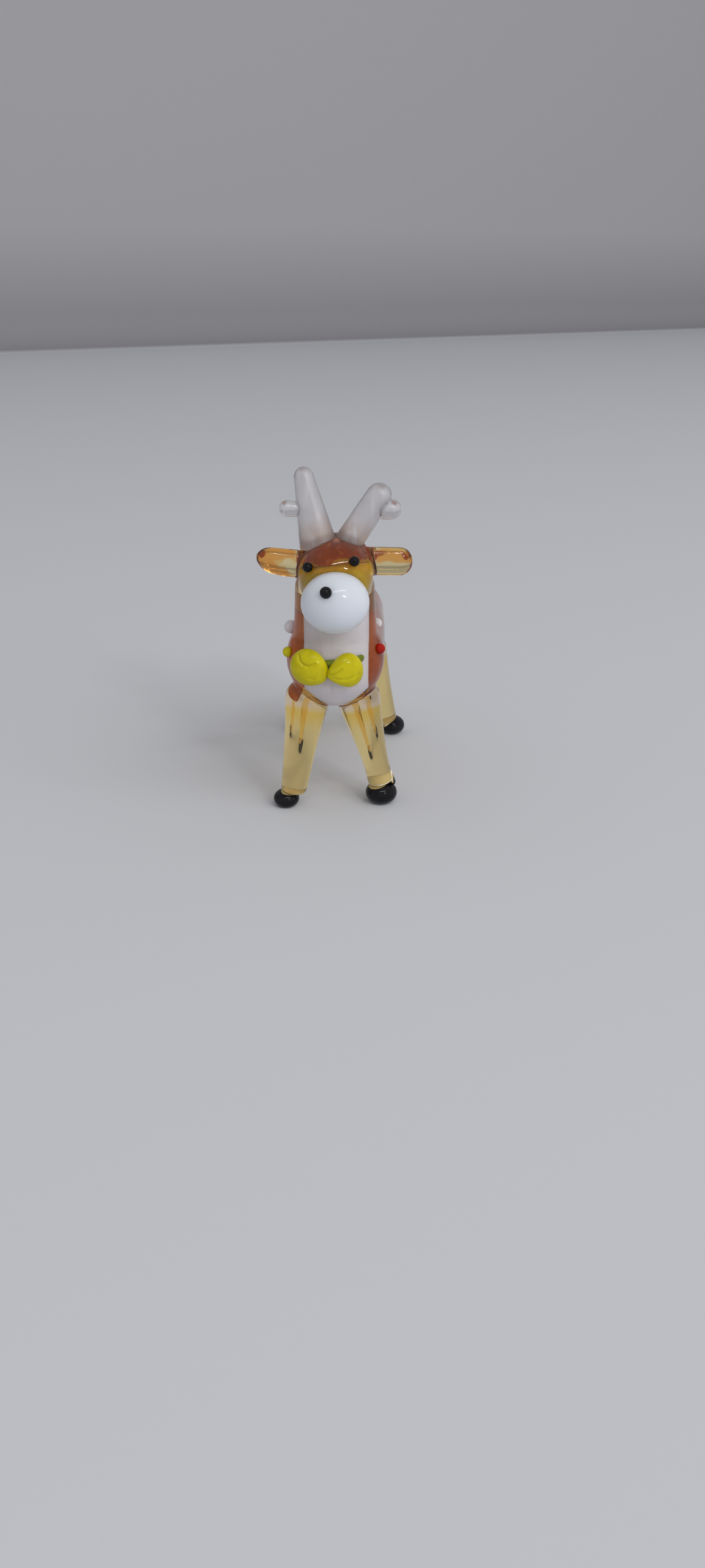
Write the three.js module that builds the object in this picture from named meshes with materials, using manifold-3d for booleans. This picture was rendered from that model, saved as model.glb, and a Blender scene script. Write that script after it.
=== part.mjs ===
// Glass reindeer figurine, made at a lamp: clear amber gathers with stripes, beads and a bow of colours.
// Millimetres, +Z up. The animal looks along -Y, and left and right are its own, so its left side is at +X.
// The origin lies on the floor, under the middle of the bounding box.
import * as THREE from 'three';
import { mergeVertices } from 'three/addons/utils/BufferGeometryUtils.js';
import Module from 'manifold-3d';

// Joints between pieces that are fused on the real figurine, and the depth of an inlaid stripe
const seam = 0.22;
const stripeDeep = 0.7;

// Barrel: chest, flanks and rump in one gather, lying along Y
const barrelLong = 37.6;
const chestWide = 14;
const chestTall = 13.7;
const chestDome = 6.6;
const flankWide = 13.6;
const flankTall = 12;
const flankLift = 0.5;
const rumpWide = 12.8;
const rumpTall = 12.8;
const rumpDome = 6.2;
const rumpDrop = 0.9;
const chestClearance = 16.4;

// Neck: an upright column on the front of the barrel
const neckRise = 13.4;
const neckForward = 0.8;
const neckRootWide = 12.8;
const neckRootDeep = 11.6;
const neckWaistWide = 11.5;
const neckWaistDeep = 10.6;
const neckWaistPlace = 0.45;
const neckTopWide = 10.9;
const neckTopDeep = 10.2;
const neckRootBack = 0.2;
const neckDome = 2.7;

// Head: a rod end bent forward over the neck, nose down and a little rolled
const headWide = 10.25;
const headTall = 9.2;
const headLong = 11.8;
const headDome = 4.5;
const headForward = 1.1;
const headSink = 0.5;
const headAside = 0.3;
const headPitchDegrees = 10;
const headRollDegrees = 6;
const crownEdge = 0.75;
const crownSlopeDegrees = 24;

// Muzzle and nose beads, and the eyes
const muzzleWide = 9.2;
const muzzleTall = 8.3;
const muzzleDeep = 7.8;
const muzzleProud = 0.2;
const muzzleDrop = 1.95;
const muzzleAside = -0.15;
const noseBead = 1.6;
const noseSunk = 0.56;
const noseAside = -0.75;
const noseHeight = 2.9;
const eyeBead = 1.4;
const eyeProud = 1;
const eyeSpread = 5.9;
const eyeAside = -0.2;
const rightEyeHeight = 2.45;
const leftEyeHeight = 2.7;

// Ears: flattened lobes that stand straight out
const rightEarLong = 5.9;
const leftEarLong = 5.3;
const earSunk = 2.05;
const earThick = 2.5;
const rightEarTall = 3.8;
const rightEarLift = 0.75;
const leftEarTall = 3.9;
const leftEarLift = -0.05;
const earHeight = 0.85;
const earBack = 0.6;
const earTipRound = 0.45;

// Antlers and their side tines
const antlerSpread = 3.5;
const antlerAside = -0.25;
const antlerBack = 0.8;
const antlerSunk = 1.75;
const antlerLean = 1.2;
const antlerDeepShare = 0.9;
const rightAntlerRise = 10.85;
const rightAntlerSplay = 2.35;
const rightAntlerRoot = 5.4;
const rightAntlerTip = 2.3;
const leftAntlerRise = 8.2;
const leftAntlerSplay = 5.5;
const leftAntlerRoot = 3.9;
const leftAntlerTip = 3.4;
const tineReach = 4.3;
const rightTineThick = 2.4;
const rightTineHeight = 5.3;
const leftTineThick = 2.9;
const leftTineHeight = 4.9;
const tineRise = 0.13;
// Every drawn root closes over a low dome inside the glass that it is fused to.
const rootDome = 0.8;

// Legs and hooves
const rightHipOut = 3.65;
const leftHipOut = 2.65;
const rearHipOut = 3;
const rearHipIn = 5.2;
const hipDepth = 3.5;
const legTopThick = 7.2;
const legKneeThick = 5.1;
const legFootThick = 3.8;
const rightFootOut = 6.4;
const rightFootBack = -0.4;
const leftFootOut = 6.7;
const leftFootBack = 1.6;
const rearFootOut = 6.8;
const rearFootBack = 4.4;
const footDome = 0.9;

// Hooves: the cup is how deep a leg's end sits in the hoof's top, and the sole is what the flat takes off.
const hoofWide = 3.85;
const hoofTall = 2.9;
const hoofCup = 0.55;
const leftHoofWide = 4.75;
const leftHoofTall = 3.65;
const leftHoofCup = 0.3;
const rearHoofWide = 4.3;
const rearHoofTall = 3.3;
const rearHoofCup = 0.95;
const hoofOut = 1.05;
const leftHoofOut = 0;
const hoofSole = 0.25;

// Stripes inlaid flush in the clear glass
const bibWide = 8.8;
const bibAside = 0.4;
const bibTipUp = 0.4;
const bibShoulderDown = 3.3;
const bibTipRound = 1.2;
const bibRoundShare = 0.8;
const bibEndAhead = 1.8;
// The brown one hangs over the back like a mantle. Its collar and its hem are slanted planes.
const collarUp = 7.75;
const collarSlope = 0.2;
const hemDown = 5.05;
const hemAhead = 3;
const hemSlope = 0.6;
const hemTilt = 0.16;
const flankEdgeUp = 1;

// Bow and the stringer under it
const bowHeight = 0.8;
const bowAside = -0.4;
const rightLobeWide = 5.7;
const rightLobeTall = 5.5;
const rightLobeDrop = 0.32;
const rightLobeTiltDegrees = 24;
const rightLobeNarrow = 0.25;
const rightLobeLap = 0.1;
const leftLobeWide = 5.1;
const leftLobeTall = 5.4;
const leftLobeDrop = 0.5;
const leftLobeTiltDegrees = -12;
const leftLobeNarrow = 0.5;
const leftLobeLap = 0.4;
const lobeThick = 2.9;
const lobeSunk = 0.58;
const lobeTurnDegrees = 17;
const creaseDeep = 0.45;
const creaseUp = -0.12;
const creaseWide = 0.09;
const stringerThick = 1;
const stringerSunk = 0.3;
const stringerLong = 9.4;
const stringerRise = 0.45;
const stringerLift = 0.35;

// Beads on the shoulders: how far back from the front legs, how far above the chest's axis, and how proud
const beadThick = 1.5;
const beadProud = 0.85;
const redBeadBack = -2.2;
const redBeadUp = 1.95;
const yellowBeadBack = -2.2;
const yellowBeadUp = 1.3;
const leftWhiteBeadBack = 4.5;
const leftWhiteBeadUp = 3.5;
const leftWhiteBeadProud = 0.5;
const rightWhiteBeadBack = 1;
const rightWhiteBeadUp = 4;
const rightWhiteBeadThick = 1.9;
const rightWhiteBeadProud = 1.5;

// Tail: a short drawn point
const tailLong = 4.2;
const tailThick = 2.6;
const tailTipThick = 1.2;
const tailPitchDegrees = 30;
const tailRootIn = 3.4;
const tailRootUp = 3.6;

// Facets round a rod and along it
const roundSides = 24;
const legSides = 16;
const hoofSides = 13;
const smallSides = 12;
const stringerSides = 8;
const lobeSides = 18;
const beadRingShare = 0.6;
const domeRings = 4;
const spanRings = 6;
const legRings = 4;
const tineRings = 3;
const outlineSteps = 10;
const weld = 1e-4;
const cutSize = 120;

const wasm = await Module();
wasm.setup();

const degrees = Math.PI / 180;
const X = new THREE.Vector3(1, 0, 0);
const Z = new THREE.Vector3(0, 0, 1);
const at = (x, y, z) => new THREE.Vector3(x, y, z);

// Turns a closed geometry into a solid that can be joined and cut.
function solidOf(geometry) {
  const bare = new THREE.BufferGeometry();
  bare.setAttribute('position', geometry.getAttribute('position').clone());
  bare.setIndex(geometry.getIndex().clone());
  const merged = mergeVertices(bare, weld);
  const vertProperties = new Float32Array(merged.getAttribute('position').array);
  const triVerts = new Uint32Array(merged.getIndex().array);
  return new wasm.Manifold(new wasm.Mesh({ numProp: 3, vertProperties, triVerts }));
}

// Turns a solid back into a geometry.
function geometryOf(solid) {
  const mesh = solid.getMesh();
  const geometry = new THREE.BufferGeometry();
  geometry.setAttribute('position', new THREE.BufferAttribute(new Float32Array(mesh.vertProperties), 3));
  geometry.setIndex(withoutChips(geometry.getAttribute('position'), mesh.triVerts));
  geometry.computeVertexNormals();
  return geometry;
}

// A cut through two thin edges can leave a loose chip too small to see, so only the largest body is kept.
function withoutChips(places, corners) {
  const leader = Array.from({ length: places.count }, (_, corner) => corner);
  const find = (corner) => {
    let top = corner;
    while (leader[top] !== top) {
      leader[top] = leader[leader[top]];
      top = leader[top];
    }
    return top;
  };
  const triangles = [];
  for (let first = 0; first < corners.length; first += 3) {
    const triangle = [...corners.slice(first, first + 3)];
    leader[find(triangle[1])] = find(triangle[0]);
    leader[find(triangle[2])] = find(triangle[0]);
    triangles.push(triangle);
  }
  const bodies = new Map();
  for (const triangle of triangles) {
    const top = find(triangle[0]);
    const [a, b, c] = triangle.map((corner) => new THREE.Vector3().fromBufferAttribute(places, corner));
    const body = bodies.get(top) ?? { index: [], volume: 0 };
    body.index.push(...triangle);
    body.volume += a.dot(b.cross(c)) / 6;
    bodies.set(top, body);
  }
  return [...bodies.values()].sort((a, b) => b.volume - a.volume)[0].index;
}

// Skins rings of points, counterclockwise seen from the end, into a closed geometry with pointed ends.
function skinned(start, rings, end) {
  const sides = rings[0].length;
  const points = [start, ...rings.flat(), end];
  const last = points.length - 1;
  const index = [];
  for (let side = 0; side < sides; side += 1) {
    const next = (side + 1) % sides;
    index.push(0, 1 + next, 1 + side);
    for (let ring = 0; ring < rings.length - 1; ring += 1) {
      const here = 1 + ring * sides;
      const there = here + sides;
      index.push(here + side, here + next, there + next);
      index.push(here + side, there + next, there + side);
    }
    const top = 1 + (rings.length - 1) * sides;
    index.push(last, top + side, top + next);
  }
  const geometry = new THREE.BufferGeometry().setFromPoints(points);
  geometry.setIndex(index);
  return geometry;
}

// A rod of glass drawn along a path with round ends. Each station has a point and its full sizes, across and
// deep, and the rod closes over a dome of the given length at each end. grow makes it larger all round.
function rod({ stations, across, startDome, endDome, sides = roundSides, spans = spanRings, grow = 0 }) {
  const path = new THREE.CatmullRomCurve3(stations.map((station) => station.point));
  const sizes = new THREE.CatmullRomCurve3(stations.map((station) => at(station.wide, station.deep, 0)));
  const long = path.getLength();
  const marks = [];
  for (let ring = 1; ring <= domeRings; ring += 1) {
    const angle = (ring / domeRings) * 90 * degrees;
    marks.push({ along: startDome * (1 - Math.cos(angle)), share: Math.sin(angle), out: -Math.cos(angle) });
  }
  for (let ring = 1; ring < spans; ring += 1) {
    const along = startDome + ((long - startDome - endDome) * ring) / spans;
    marks.push({ along, share: 1, out: 0 });
  }
  for (let ring = domeRings; ring >= 1; ring -= 1) {
    const angle = (ring / domeRings) * 90 * degrees;
    const along = long - endDome * (1 - Math.cos(angle));
    marks.push({ along, share: Math.sin(angle), out: Math.cos(angle) });
  }
  const rings = marks.map(({ along, share, out }) => {
    const place = along / long;
    const tangent = path.getTangentAt(place);
    const centre = path.getPointAt(place).addScaledVector(tangent, out * grow);
    const size = sizes.getPoint(path.getUtoTmapping(place));
    const side = across.clone().addScaledVector(tangent, -across.dot(tangent)).normalize();
    const depth = new THREE.Vector3().crossVectors(tangent, side);
    const ring = [];
    for (let step = 0; step < sides; step += 1) {
      const angle = (step / sides) * 360 * degrees;
      const wide = (size.x / 2 + grow) * share * Math.cos(angle);
      const deep = (size.y / 2 + grow) * share * Math.sin(angle);
      ring.push(centre.clone().addScaledVector(side, wide).addScaledVector(depth, deep));
    }
    return ring;
  });
  const start = path.getPointAt(0).addScaledVector(path.getTangentAt(0), -grow);
  const end = path.getPointAt(1).addScaledVector(path.getTangentAt(1), grow);
  return solidOf(skinned(start, rings, end));
}

// Three points on a straight line, from its start to its end
const threeAlong = (start, end) => [start, start.clone().lerp(end, 0.5), end];

// A bead: a ball squashed to its full sizes, turned, and set at its centre.
function bead({ centre, size, turn = new THREE.Quaternion(), sides = smallSides, grow = 0 }) {
  const ball = new THREE.SphereGeometry(0.5, sides, Math.round(sides * beadRingShare));
  ball.scale(size.x + 2 * grow, size.y + 2 * grow, size.z + 2 * grow);
  ball.applyQuaternion(turn);
  ball.translate(centre.x, centre.y, centre.z);
  return solidOf(ball);
}

// A block with its outline drawn in the front view, right through the animal from one depth to another.
function frontBlock(outline, nearY, farY) {
  const settings = { depth: farY - nearY, bevelEnabled: false, curveSegments: outlineSteps };
  const block = new THREE.ExtrudeGeometry(outline, settings);
  block.rotateX(90 * degrees);
  block.translate(0, farY, 0);
  return solidOf(mergedCopy(block));
}

// Extruded geometries repeat their corners and have no index, so they get one here.
function mergedCopy(geometry) {
  const bare = new THREE.BufferGeometry();
  bare.setAttribute('position', geometry.getAttribute('position').clone());
  return mergeVertices(bare, weld);
}

// Barrel. Y is 0 at the front legs.
const chestAxis = chestClearance + chestTall / 2;
const rumpAxis = chestAxis - rumpDrop;
const chestFront = -chestDome;
const rumpBack = chestFront + barrelLong;

function barrel(grow) {
  const flankY = chestFront + barrelLong / 2;
  const flankZ = (chestAxis + rumpAxis) / 2 + flankLift;
  const stations = [
    { point: at(0, chestFront, chestAxis), wide: chestWide, deep: chestTall },
    { point: at(0, 0, chestAxis), wide: chestWide, deep: chestTall },
    { point: at(0, flankY, flankZ), wide: flankWide, deep: flankTall },
    { point: at(0, rumpBack - rumpDome, rumpAxis), wide: rumpWide, deep: rumpTall },
    { point: at(0, rumpBack, rumpAxis), wide: rumpWide, deep: rumpTall },
  ];
  return rod({ stations, across: X, startDome: chestDome, endDome: rumpDome, grow });
}

// Neck, from the middle of the chest to the middle of the head
const neckTop = chestAxis + neckRise;
const neckWaistZ = chestAxis + neckRise * neckWaistPlace;
const neckY = (share) => neckRootBack - (neckRootBack + neckForward) * share;

function neck(grow) {
  const stations = [
    { point: at(0, neckRootBack, chestAxis), wide: neckRootWide, deep: neckRootDeep },
    { point: at(0, neckY(neckWaistPlace), neckWaistZ), wide: neckWaistWide, deep: neckWaistDeep },
    { point: at(0, -neckForward, neckTop), wide: neckTopWide, deep: neckTopDeep },
  ];
  return rod({ stations, across: X, startDome: neckDome, endDome: neckDome, grow });
}

// Head. Its own frame has x across, y back and z up, turned by the roll and the pitch.
const headCentre = at(headAside, -neckForward - headForward, neckTop - headSink);
const headTurn = new THREE.Quaternion().setFromEuler(
  new THREE.Euler(headPitchDegrees * degrees, -headRollDegrees * degrees, 0, 'YXZ'),
);
const onHead = (x, y, z) => at(x, y, z).applyQuaternion(headTurn).add(headCentre);
const headSide = X.clone().applyQuaternion(headTurn);

function head(grow) {
  const stations = [-0.5, 0, 0.5].map((share) => (
    { point: onHead(0, share * headLong, 0), wide: headWide, deep: headTall }
  ));
  return rod({ stations, across: headSide, startDome: headDome, endDome: headDome, grow });
}

// The point on the head's front, seen along its own y, at a place across and up from its axis.
function headFront(x, z) {
  const share = Math.min(1, Math.hypot(x / (headWide / 2), z / (headTall / 2)));
  return onHead(x, -headLong / 2 + headDome * (1 - Math.sqrt(1 - share * share)), z);
}

// The neck's cut at a height, from its root to its waist.
function neckSection(z) {
  const share = Math.min(1, Math.max(0, z - chestAxis) / (neckRise * neckWaistPlace));
  const halfWide = (neckRootWide + (neckWaistWide - neckRootWide) * share) / 2;
  const halfDeep = (neckRootDeep + (neckWaistDeep - neckRootDeep) * share) / 2;
  return { centre: neckY(share * neckWaistPlace), halfWide, halfDeep };
}

// The most forward point of the chest and neck, seen from the front, at a place across and up.
function chestSurface(x, z) {
  const onBarrel = Math.hypot(x / (chestWide / 2), (z - chestAxis) / (chestTall / 2));
  const barrelY = onBarrel < 1 ? -chestDome * Math.sqrt(1 - onBarrel * onBarrel) : 0;
  const section = neckSection(z);
  const onNeck = Math.min(1, Math.abs(x) / section.halfWide);
  const neckFront = section.centre - section.halfDeep * Math.sqrt(1 - onNeck * onNeck);
  return at(x, Math.min(barrelY, z > chestAxis ? neckFront : 0), z);
}

// The most outward point of the chest and neck's side, at a place back from the front legs and up.
function sideSurface(side, y, z) {
  const round = 1 - (Math.min(0, y) / chestDome) ** 2;
  const onBarrel = round - ((z - chestAxis) / (chestTall / 2)) ** 2;
  const barrelX = (chestWide / 2) * Math.sqrt(Math.max(0, onBarrel));
  const section = neckSection(z);
  const onNeck = 1 - ((y - section.centre) / section.halfDeep) ** 2;
  const neckX = section.halfWide * Math.sqrt(Math.max(0, onNeck));
  return at(side * Math.max(barrelX, z > chestAxis ? neckX : 0), y, z);
}

const carriers = (grow) => barrel(grow).add(neck(grow));
const bodySeat = barrel(seam);
const headSeat = head(seam);
const carrierSeat = carriers(seam);

// A stripe fills a region of its carriers' skin, and its carriers are cut back under it and round it.
const stripe = (carrier, region) => carrier(0).intersect(region(0)).subtract(carrier(-stripeDeep));
const bed = (carrier, region) => region(seam).subtract(carrier(-stripeDeep - seam));

// White stripe down the throat and chest, to a rounded point between the front legs
const bibTip = chestClearance + bibTipUp;
const bibShoulder = chestAxis - bibShoulderDown;

function bibOutline(grow) {
  const half = bibWide / 2 + grow;
  const roundZ = bibTip + bibTipRound - grow;
  const outline = new THREE.Shape();
  outline.moveTo(bibAside - half, neckTop);
  outline.lineTo(bibAside - half, bibShoulder);
  outline.quadraticCurveTo(bibAside - half * bibRoundShare, roundZ, bibAside, bibTip - grow);
  outline.quadraticCurveTo(bibAside + half * bibRoundShare, roundZ, bibAside + half, bibShoulder);
  outline.lineTo(bibAside + half, neckTop);
  outline.closePath();
  return outline;
}

const bibRegion = (grow) => frontBlock(bibOutline(grow), chestFront - chestDome, grow - bibEndAhead);

// A block large enough to hold the figurine on one side of a plane, the side that the normal points to.
function pastPlane(point, normal, grow) {
  const block = new THREE.BoxGeometry(cutSize, cutSize, cutSize);
  const turn = new THREE.Quaternion().setFromUnitVectors(Z, normal.normalize());
  block.translate(0, 0, cutSize / 2 - grow);
  block.applyQuaternion(turn);
  block.translate(point.x, point.y, point.z);
  return solidOf(block);
}

// The throat is left open for the white stripe, all the way down the chest, and so is the belly behind it.
function throat(grow) {
  const half = bibWide / 2 + grow;
  const front = new THREE.BoxGeometry(2 * half, chestDome, cutSize);
  front.translate(bibAside, chestFront + grow - bibEndAhead + chestDome / 2, chestAxis);
  const belly = new THREE.BoxGeometry(2 * half, cutSize, cutSize);
  belly.translate(bibAside, 0, chestAxis - cutSize / 2);
  return solidOf(front).add(solidOf(belly));
}

// Brown mantle over the nape, shoulders and back. Its hem rises behind the shoulders to the flanks' edge.
function mantleRegion(grow) {
  const underCollar = pastPlane(at(0, 0, chestAxis + collarUp), at(0, collarSlope, -1), grow);
  const overHem = pastPlane(at(0, -hemAhead, chestAxis - hemDown), at(-hemTilt, -hemSlope, 1), grow);
  const overFlank = pastPlane(at(0, 0, chestAxis + flankEdgeUp), at(0, 0, 1), grow);
  return overHem.add(overFlank).intersect(underCollar).subtract(throat(seam - grow));
}

// Brown patch over the forehead and crown: the head's skin above a plane that slopes down to the nape
function crownRegion(grow) {
  const up = Z.clone().applyAxisAngle(X, -crownSlopeDegrees * degrees).applyQuaternion(headTurn);
  return pastPlane(headCentre.clone().addScaledVector(up, crownEdge), up, grow);
}

const bibBed = bed(carriers, bibRegion);
const mantleBed = bed(carriers, mantleRegion);
const torso = barrel(0).subtract(bibBed).subtract(mantleBed);
const neckPiece = neck(0).subtract(bodySeat).subtract(headSeat).subtract(bibBed).subtract(mantleBed);
const headPiece = head(0).subtract(bed(head, crownRegion));
const bib = stripe(carriers, bibRegion).subtract(headSeat);
const backStripe = stripe(carriers, mantleRegion).subtract(headSeat);
const crown = stripe(head, crownRegion);

// Muzzle, nose and eyes
const muzzleReach = headLong / 2 + muzzleProud;
const muzzleCentre = onHead(muzzleAside, -muzzleReach, -muzzleDrop);
const muzzleSize = at(muzzleWide, muzzleDeep, muzzleTall);
const muzzleForm = { centre: muzzleCentre, size: muzzleSize, turn: headTurn, sides: roundSides };
const muzzle = bead(muzzleForm).subtract(headSeat).subtract(carrierSeat);
const muzzleSeat = bead({ ...muzzleForm, grow: seam });

function noseCentre() {
  const share = Math.hypot(noseAside / (muzzleWide / 2), noseHeight / (muzzleTall / 2));
  const forward = muzzleReach + (muzzleDeep / 2) * Math.sqrt(1 - share * share) + noseBead / 2 - noseSunk;
  return onHead(muzzleAside + noseAside, -forward, noseHeight - muzzleDrop);
}

const nose = bead({ centre: noseCentre(), size: at(noseBead, noseBead, noseBead) }).subtract(muzzleSeat);

function eye(side, height) {
  const seat = headFront(eyeAside + (side * eyeSpread) / 2, height);
  const out = seat.clone().sub(onHead(0, -headLong / 2 + headDome, 0)).normalize();
  const centre = seat.addScaledVector(out, eyeProud - eyeBead / 2);
  return bead({ centre, size: at(eyeBead, eyeBead, eyeBead) }).subtract(headSeat);
}

// Ears
function ear(side, long, tall, lift) {
  const root = onHead(side * (headWide / 2 - earSunk), earBack, earHeight);
  const tip = at(headAside + side * (headWide / 2 + long), root.y, root.z + lift);
  const stations = threeAlong(root, tip).map((point) => ({ point, wide: tall, deep: earThick }));
  const endDome = tall * earTipRound;
  return rod({ stations, across: Z, startDome: rootDome, endDome, sides: legSides, spans: legRings })
    .subtract(headSeat);
}

// Antlers rise from the crown, and each has one tine on its outer side.
function antlerStations(side, rise, splay, root, tip) {
  const foot = onHead(antlerAside + (side * antlerSpread) / 2, antlerBack, headTall / 2 - antlerSunk);
  const top = at(foot.x + side * splay, foot.y + antlerLean, foot.z + rise);
  const thick = [root, (root + tip) / 2, tip];
  return threeAlong(foot, top).map((point, place) => (
    { point, wide: thick[place], deep: thick[place] * antlerDeepShare }
  ));
}

function antler(side, rise, splay, root, tip, grow) {
  const stations = antlerStations(side, rise, splay, root, tip);
  return rod({ stations, across: X, startDome: rootDome, endDome: tip / 2, sides: legSides, grow });
}

function tine(side, rise, splay, root, tip, thick, height) {
  const [foot, , top] = antlerStations(side, rise, splay, root, tip).map((station) => station.point);
  const start = foot.clone().lerp(top, height / rise);
  const end = at(start.x + side * tineReach, start.y, start.z + tineRise);
  const stations = threeAlong(start, end).map((point) => ({ point, wide: thick, deep: thick }));
  const endDome = thick / 2;
  return rod({ stations, across: Z, startDome: rootDome, endDome, sides: smallSides, spans: tineRings });
}

const rightAntlerForm = [-1, rightAntlerRise, rightAntlerSplay, rightAntlerRoot, rightAntlerTip];
const leftAntlerForm = [1, leftAntlerRise, leftAntlerSplay, leftAntlerRoot, leftAntlerTip];
const rightAntlerSeat = antler(...rightAntlerForm, seam);
const leftAntlerSeat = antler(...leftAntlerForm, seam);
const rightAntler = antler(...rightAntlerForm, 0).subtract(headSeat);
const leftAntler = antler(...leftAntlerForm, 0).subtract(headSeat).subtract(rightAntlerSeat);
const rightTine = tine(...rightAntlerForm, rightTineThick, rightTineHeight).subtract(rightAntlerSeat);
const leftTine = tine(...leftAntlerForm, leftTineThick, leftTineHeight).subtract(leftAntlerSeat);
const rightEar = ear(-1, rightEarLong, rightEarTall, rightEarLift).subtract(rightAntlerSeat);
const leftEar = ear(1, leftEarLong, leftEarTall, leftEarLift).subtract(leftAntlerSeat);

// Legs run from inside the barrel down to the hooves, and their tops are cut to saddles by the barrel.
function legStations(hip, foot) {
  const thick = [legTopThick, legKneeThick, legFootThick];
  return threeAlong(hip, foot).map((point, place) => ({ point, wide: thick[place], deep: thick[place] }));
}

function leg(stations, grow) {
  const domes = { startDome: rootDome, endDome: footDome };
  return rod({ stations, across: X, ...domes, sides: legSides, spans: legRings, grow });
}

const frontHipZ = chestAxis - hipDepth;
const rearHipZ = rumpAxis - hipDepth;
const rearHipY = rumpBack - rearHipIn;
const rearFootY = rearHipY + rearFootBack;
const rightFootZ = hoofTall - hoofSole - hoofCup;
const leftFootZ = leftHoofTall - hoofSole - leftHoofCup;
const rearFootZ = rearHoofTall - hoofSole - rearHoofCup;
const legForms = {
  front_right: legStations(at(-rightHipOut, 0, frontHipZ), at(-rightFootOut, rightFootBack, rightFootZ)),
  front_left: legStations(at(leftHipOut, 0, frontHipZ), at(leftFootOut, leftFootBack, leftFootZ)),
  rear_right: legStations(at(-rearHipOut, rearHipY, rearHipZ), at(-rearFootOut, rearFootY, rearFootZ)),
  rear_left: legStations(at(rearHipOut, rearHipY, rearHipZ), at(rearFootOut, rearFootY, rearFootZ)),
};

// A hoof is a squashed bead with a flat sole, cupped round the end of its leg.
function hoof(stations, wide, tall, out) {
  const foot = stations[stations.length - 1].point;
  const side = Math.sign(foot.x);
  const centre = at(foot.x + side * out, foot.y, tall / 2 - hoofSole);
  const ball = bead({ centre, size: at(wide, wide, tall), sides: hoofSides });
  const floor = new THREE.BoxGeometry(wide * 2, wide * 2, tall);
  floor.translate(centre.x, centre.y, -tall / 2);
  return ball.subtract(solidOf(floor)).subtract(leg(stations, seam));
}

const hoofForms = {
  front_right: [hoofWide, hoofTall, hoofOut],
  front_left: [leftHoofWide, leftHoofTall, leftHoofOut],
  rear_right: [rearHoofWide, rearHoofTall, hoofOut],
  rear_left: [rearHoofWide, rearHoofTall, hoofOut],
};

// Stringer of green glass laid across the bib, rising to the animal's left
const bowZ = chestAxis + bowHeight;

function stringer(grow) {
  const stations = [-0.5, -0.25, 0, 0.25, 0.5].map((share) => {
    const height = bowZ + stringerLift + share * 2 * stringerRise;
    const place = chestSurface(bowAside + share * stringerLong, height);
    place.y += stringerSunk - stringerThick / 2;
    return { point: place, wide: stringerThick, deep: stringerThick };
  });
  const endDome = stringerThick / 2;
  return rod({ stations, across: Z, startDome: endDome, endDome, sides: stringerSides, grow });
}

// A lobe of the bow: a flattened pad that narrows to the knot, with a crease pressed along its middle.
function lobe({ side, wide, tall, drop, lap, narrow, tilt, grow }) {
  const pad = new THREE.SphereGeometry(0.5, lobeSides, Math.round(lobeSides * beadRingShare));
  const places = pad.getAttribute('position');
  for (let corner = 0; corner < places.count; corner += 1) {
    const place = new THREE.Vector3().fromBufferAttribute(places, corner);
    const toKnot = Math.max(0, 0.5 - side * place.x);
    const crease = Math.exp(-(((place.z - creaseUp) / creaseWide) ** 2)) * Math.min(1, 2 * toKnot);
    const height = place.z * (1 - narrow * toKnot * toKnot);
    const depth = place.y * lobeThick + crease * creaseDeep * Math.sqrt(Math.max(0, -2 * place.y));
    places.setXYZ(corner, place.x * wide, depth, height * tall);
  }
  pad.scale(1 + (2 * grow) / wide, 1 + (2 * grow) / lobeThick, 1 + (2 * grow) / tall);
  pad.rotateY(tilt * degrees);
  pad.rotateZ(side * lobeTurnDegrees * degrees);
  const seat = chestSurface(bowAside + side * (wide / 2 - lap), bowZ - drop);
  pad.translate(seat.x, seat.y + lobeSunk - lobeThick / 2, seat.z);
  return solidOf(pad);
}

const rightLobeForm = {
  side: -1,
  wide: rightLobeWide,
  tall: rightLobeTall,
  drop: rightLobeDrop,
  lap: rightLobeLap,
  narrow: rightLobeNarrow,
  tilt: rightLobeTiltDegrees,
};
const leftLobeForm = {
  side: 1,
  wide: leftLobeWide,
  tall: leftLobeTall,
  drop: leftLobeDrop,
  lap: leftLobeLap,
  narrow: leftLobeNarrow,
  tilt: leftLobeTiltDegrees,
};

function seatedLobe(form) {
  return lobe({ ...form, grow: 0 }).subtract(carrierSeat).subtract(stringer(seam));
}

const rightLobe = seatedLobe(rightLobeForm);
const leftLobe = seatedLobe(leftLobeForm).subtract(lobe({ ...rightLobeForm, grow: seam }));

// A bead on a shoulder, half sunk in the glass
function shoulderBead({ side, back, up, thick = beadThick, proud = beadProud }) {
  const centre = sideSurface(side, back, chestAxis + up);
  centre.x += side * (proud - thick / 2);
  return bead({ centre, size: at(thick, thick, thick) }).subtract(carrierSeat);
}

const beadForms = {
  left_red_bead: { side: 1, back: redBeadBack, up: redBeadUp },
  left_white_bead: { side: 1, back: leftWhiteBeadBack, up: leftWhiteBeadUp, proud: leftWhiteBeadProud },
  right_yellow_bead: { side: -1, back: yellowBeadBack, up: yellowBeadUp },
  right_white_bead: {
    side: -1,
    back: rightWhiteBeadBack,
    up: rightWhiteBeadUp,
    thick: rightWhiteBeadThick,
    proud: rightWhiteBeadProud,
  },
};

// Tail, a short drawn point at the top of the rump
function tail() {
  const root = at(0, rumpBack - tailRootIn, rumpAxis + tailRootUp);
  const tip = at(0, tailLong, 0).applyAxisAngle(X, tailPitchDegrees * degrees).add(root);
  const thick = [tailThick, (3 * tailThick + tailTipThick) / 4, tailTipThick];
  const stations = threeAlong(root, tip).map((point, place) => (
    { point, wide: thick[place], deep: thick[place] }
  ));
  return rod({ stations, across: X, startDome: rootDome, endDome: tailTipThick / 2, sides: smallSides })
    .subtract(bodySeat);
}

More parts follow.
